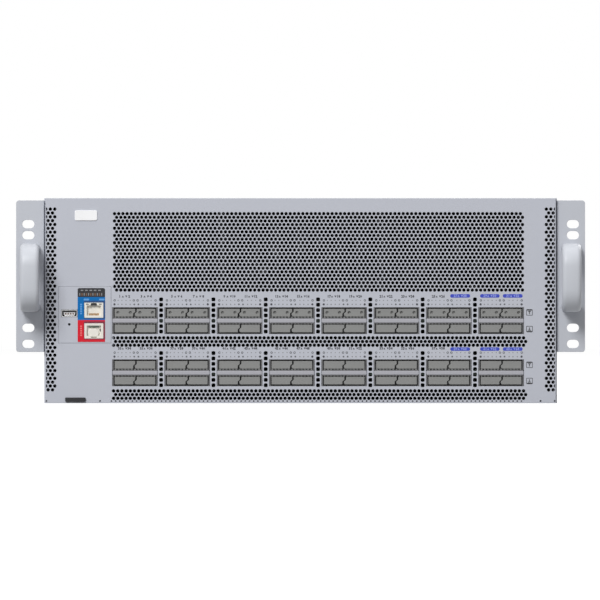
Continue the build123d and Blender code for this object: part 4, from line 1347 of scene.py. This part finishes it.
def release_lever(x, z, height):
    """Release lever: a knuckle, a thumb tab with ribs and a tooth past the side of the case."""
    start = rear_y + 0.3
    arm = [(-1, 0), (6.6, 0), (6.6, 2), (1, 2), (1, 18), (-1, 18)]
    loop = round_off([(x + a, start + b) for a, b in arm], [0, 0.6, 0.6, 0.8, 0.9, 0.9], 3)
    lever = plate([loop], z - height / 2, z + height / 2, LEVEL, 0.35)
    knuckle = plate([circle(x, start + 1.5, 1.5, 16)], z - height / 2 + 0.05, z + height / 2 - 0.05, LEVEL)
    half = height / 2 - 2
    ribs = [
        block((x - 1.35, near, z - half), (x + 1.35, near + 0.8, z + half), 0.25)
        for near in (start + 10.4, start + 12.4, start + 14.4, start + 16.4)
    ]
    return together(lever, knuckle, *ribs)


for number_of_supply in (1, 2):
    module = f"power_supply_{number_of_supply}"
    name = f"psu_{number_of_supply}"
    low, high = box_mm(f"{name}_case")
    x, z = (low.x + high.x) / 2, (low.z + high.z) / 2
    guard = window_guard(x + window_shift, z)
    piece(f"{name}_inlet_cup", inlet_cup(x + inlet_shift, z), pin_dark, f"{name}_inlet", body=module)
    piece(f"{name}_inlet_pins", inlet_pins(x + inlet_shift, z), contact_gold, body=module)
    piece(f"{name}_guard", guard, screw_metal, body=module, soft_angle=70, crisp=False)
    rotor_low, rotor_high = box_mm(f"{name}_rotor")
    middle_y, length = (rotor_low.y + rotor_high.y) / 2, rotor_high.y - rotor_low.y
    small = rotor(x + window_shift, z, middle_y, hub=7.0, length=length, tip=16.0, blades=5, depth=9.0)
    piece(f"{name}_blades", small, fan_black, f"{name}_rotor", body=f"supply_rotor_{number_of_supply}", crisp=False)
    grip = rear_handle(f"{name}_handle", bar=6.0, corner=5.0, inner=3.0, edge=1.8)
    piece(f"{name}_grip", grip, grip_black, f"{name}_handle", body=module, soft_angle=60, crisp=False)
    lever = release_lever(x + latch_shift, z, 20.0)
    piece(f"{name}_lever", lever, latch_blue, f"{name}_latch", body=f"supply_latch_{number_of_supply}")
    piece(f"{name}_lamp", rear_lamp(x - 38, z + 17, 1.2, 0.6), lens_green, body=module)


# Rear vent panel ----------------------------------------------------------

vent_low, vent_high = box_mm("rear_vent_panel")
vent_z = (vent_low.z + vent_high.z) / 2
vent_fields, field_step, vent_radius = 6, 36.0, 1.1
vent_places = [(number - (vent_fields - 1) / 2) * field_step for number in range(vent_fields)]
vent_width, vent_height, vent_columns, vent_rows = 27.0, 26.0, 8, 9
vent_pitch, vent_rise = vent_width / (vent_columns + 0.5), vent_height / vent_rows


def rear_vents():
    """Plate between the supplies with six punched fields."""
    holes = [rectangle(x, vent_z, vent_width, vent_height) for x in vent_places]
    sheet_round = plate([rectangle(*front_of(vent_low, vent_high)), *holes], vent_low.y, vent_high.y)
    corner = (-vent_width / 2, vent_z - vent_height / 2)
    field = punched(*corner, vent_columns, vent_rows, vent_pitch, vent_rise, vent_radius)
    fields = [moved(field, x, vent_low.y - front_y) for x in vent_places]
    return together(sheet_round, *fields)


piece("rear_vent_sheet", rear_vents(), case_paint, "rear_vent_panel")


# CAD solids that stay, with their finishes --------------------------------

kept_edge = 0.25
kept_finishes = {
    "chassis_tray": chassis_finish_with_shade,
    "info_tag_sleeve": zinc,
    "management_board": board_green,
    "upper_port_board": board_green,
    "lower_port_board": board_green,
    "board_posts": chip_black,
    "switch_chip": chip_black,
    "chip_heatsink": sink_metal,
    "cpu_board": board_green,
    "cpu_heatsink": sink_metal,
    "fan_bay_frame": bay_metal_shaded,
    "fan_board": board_green,
    "power_board": board_green,
    "psu_1_case": supply_sheet,
    "psu_2_case": supply_sheet,
}
for node, finish in kept_finishes.items():
    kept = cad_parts[node]
    kept.data.materials.clear()
    kept.data.materials.append(finish)
    bevel = kept.modifiers.new("edges", "BEVEL")
    bevel.width = kept_edge * MM
    bevel.segments = 1
    bevel.limit_method = "ANGLE"
    bevel.angle_limit = radians(50)


# Stage --------------------------------------------------------------------

floor_size = 18
floor_tone, floor_glow, sky_light = 0.3, 0.88, 0.33
picture_width = 0.5087
camera_x, camera_z = -0.0005, 0.0876
aim = Vector((0, 0, 0.09))


def seen_share(bench):
    """1 for rays that show a surface to the camera, straight or by a gloss or a clear part, and 0 for the rest."""
    rays = bench.node("ShaderNodeLightPath")
    seen = rays.math("MAXIMUM", rays.also("Is Camera Ray"), rays.also("Is Glossy Ray"))
    return rays.math("MAXIMUM", seen, rays.also("Is Transmission Ray"))


def studio():
    """Pale floor, white surround, soft lamps and the camera."""
    scene = bpy.context.scene
    scene.view_settings.view_transform = "Standard"

    floor_mesh = bpy.data.meshes.new("floor")
    corners = [(x, y, 0) for x, y in rectangle(0, 0, floor_size, floor_size)]
    floor_mesh.from_pydata(corners, [], [(0, 1, 2, 3)])
    floor = placed("floor", floor_mesh)
    pale = bpy.data.materials.new("pale_floor")
    bench = Bench(cleared(pale))
    strength = seen_share(bench) * floor_glow
    matt = bench.node("ShaderNodeBsdfDiffuse", inputs={"Color": (floor_tone, floor_tone, floor_tone, 1)})
    glow = bench.node("ShaderNodeEmission", inputs={"Color": (1, 1, 1, 1), "Strength": strength})
    both = bench.node("ShaderNodeAddShader", inputs={0: matt, 1: glow})
    bench.node("ShaderNodeOutputMaterial", inputs={"Surface": both})
    floor_mesh.materials.append(pale)

    world = bpy.data.worlds.new("surround")
    scene.world = world
    bench = Bench(cleared(world))
    strength = sky_light + seen_share(bench) * (1 - sky_light)
    sky = bench.node("ShaderNodeBackground", inputs={"Color": (1, 1, 1, 1), "Strength": strength})
    bench.node("ShaderNodeOutputWorld", inputs={"Surface": sky})

    for name, place, size, power in (
        ("key", (-2.0, -4.4, 3.5), 2.1, 252),
        ("top", (0.4, -0.4, 4.0), 2.5, 45),
        ("rear", (2.0, 4.6, 2.8), 2.5, 110),
    ):
        lamp = bpy.data.lights.new(name, "AREA")
        lamp.energy = power
        lamp.size = size
        holder = placed(name, lamp)
        holder.location = place
        holder.rotation_mode = "QUATERNION"
        holder.rotation_quaternion = (aim - Vector(place)).to_track_quat("-Z", "Y")
        holder.visible_camera = False

    lens = bpy.data.cameras.new("camera")
    lens.lens = 600
    lens.sensor_width = 36
    lens.clip_start = 0.1
    lens.clip_end = 60
    camera = placed("camera", lens)
    distance = picture_width * lens.lens / lens.sensor_width
    camera.location = (camera_x, front_y * MM - distance, camera_z)
    camera.rotation_euler = (radians(90), 0, 0)
    scene.camera = camera


studio()
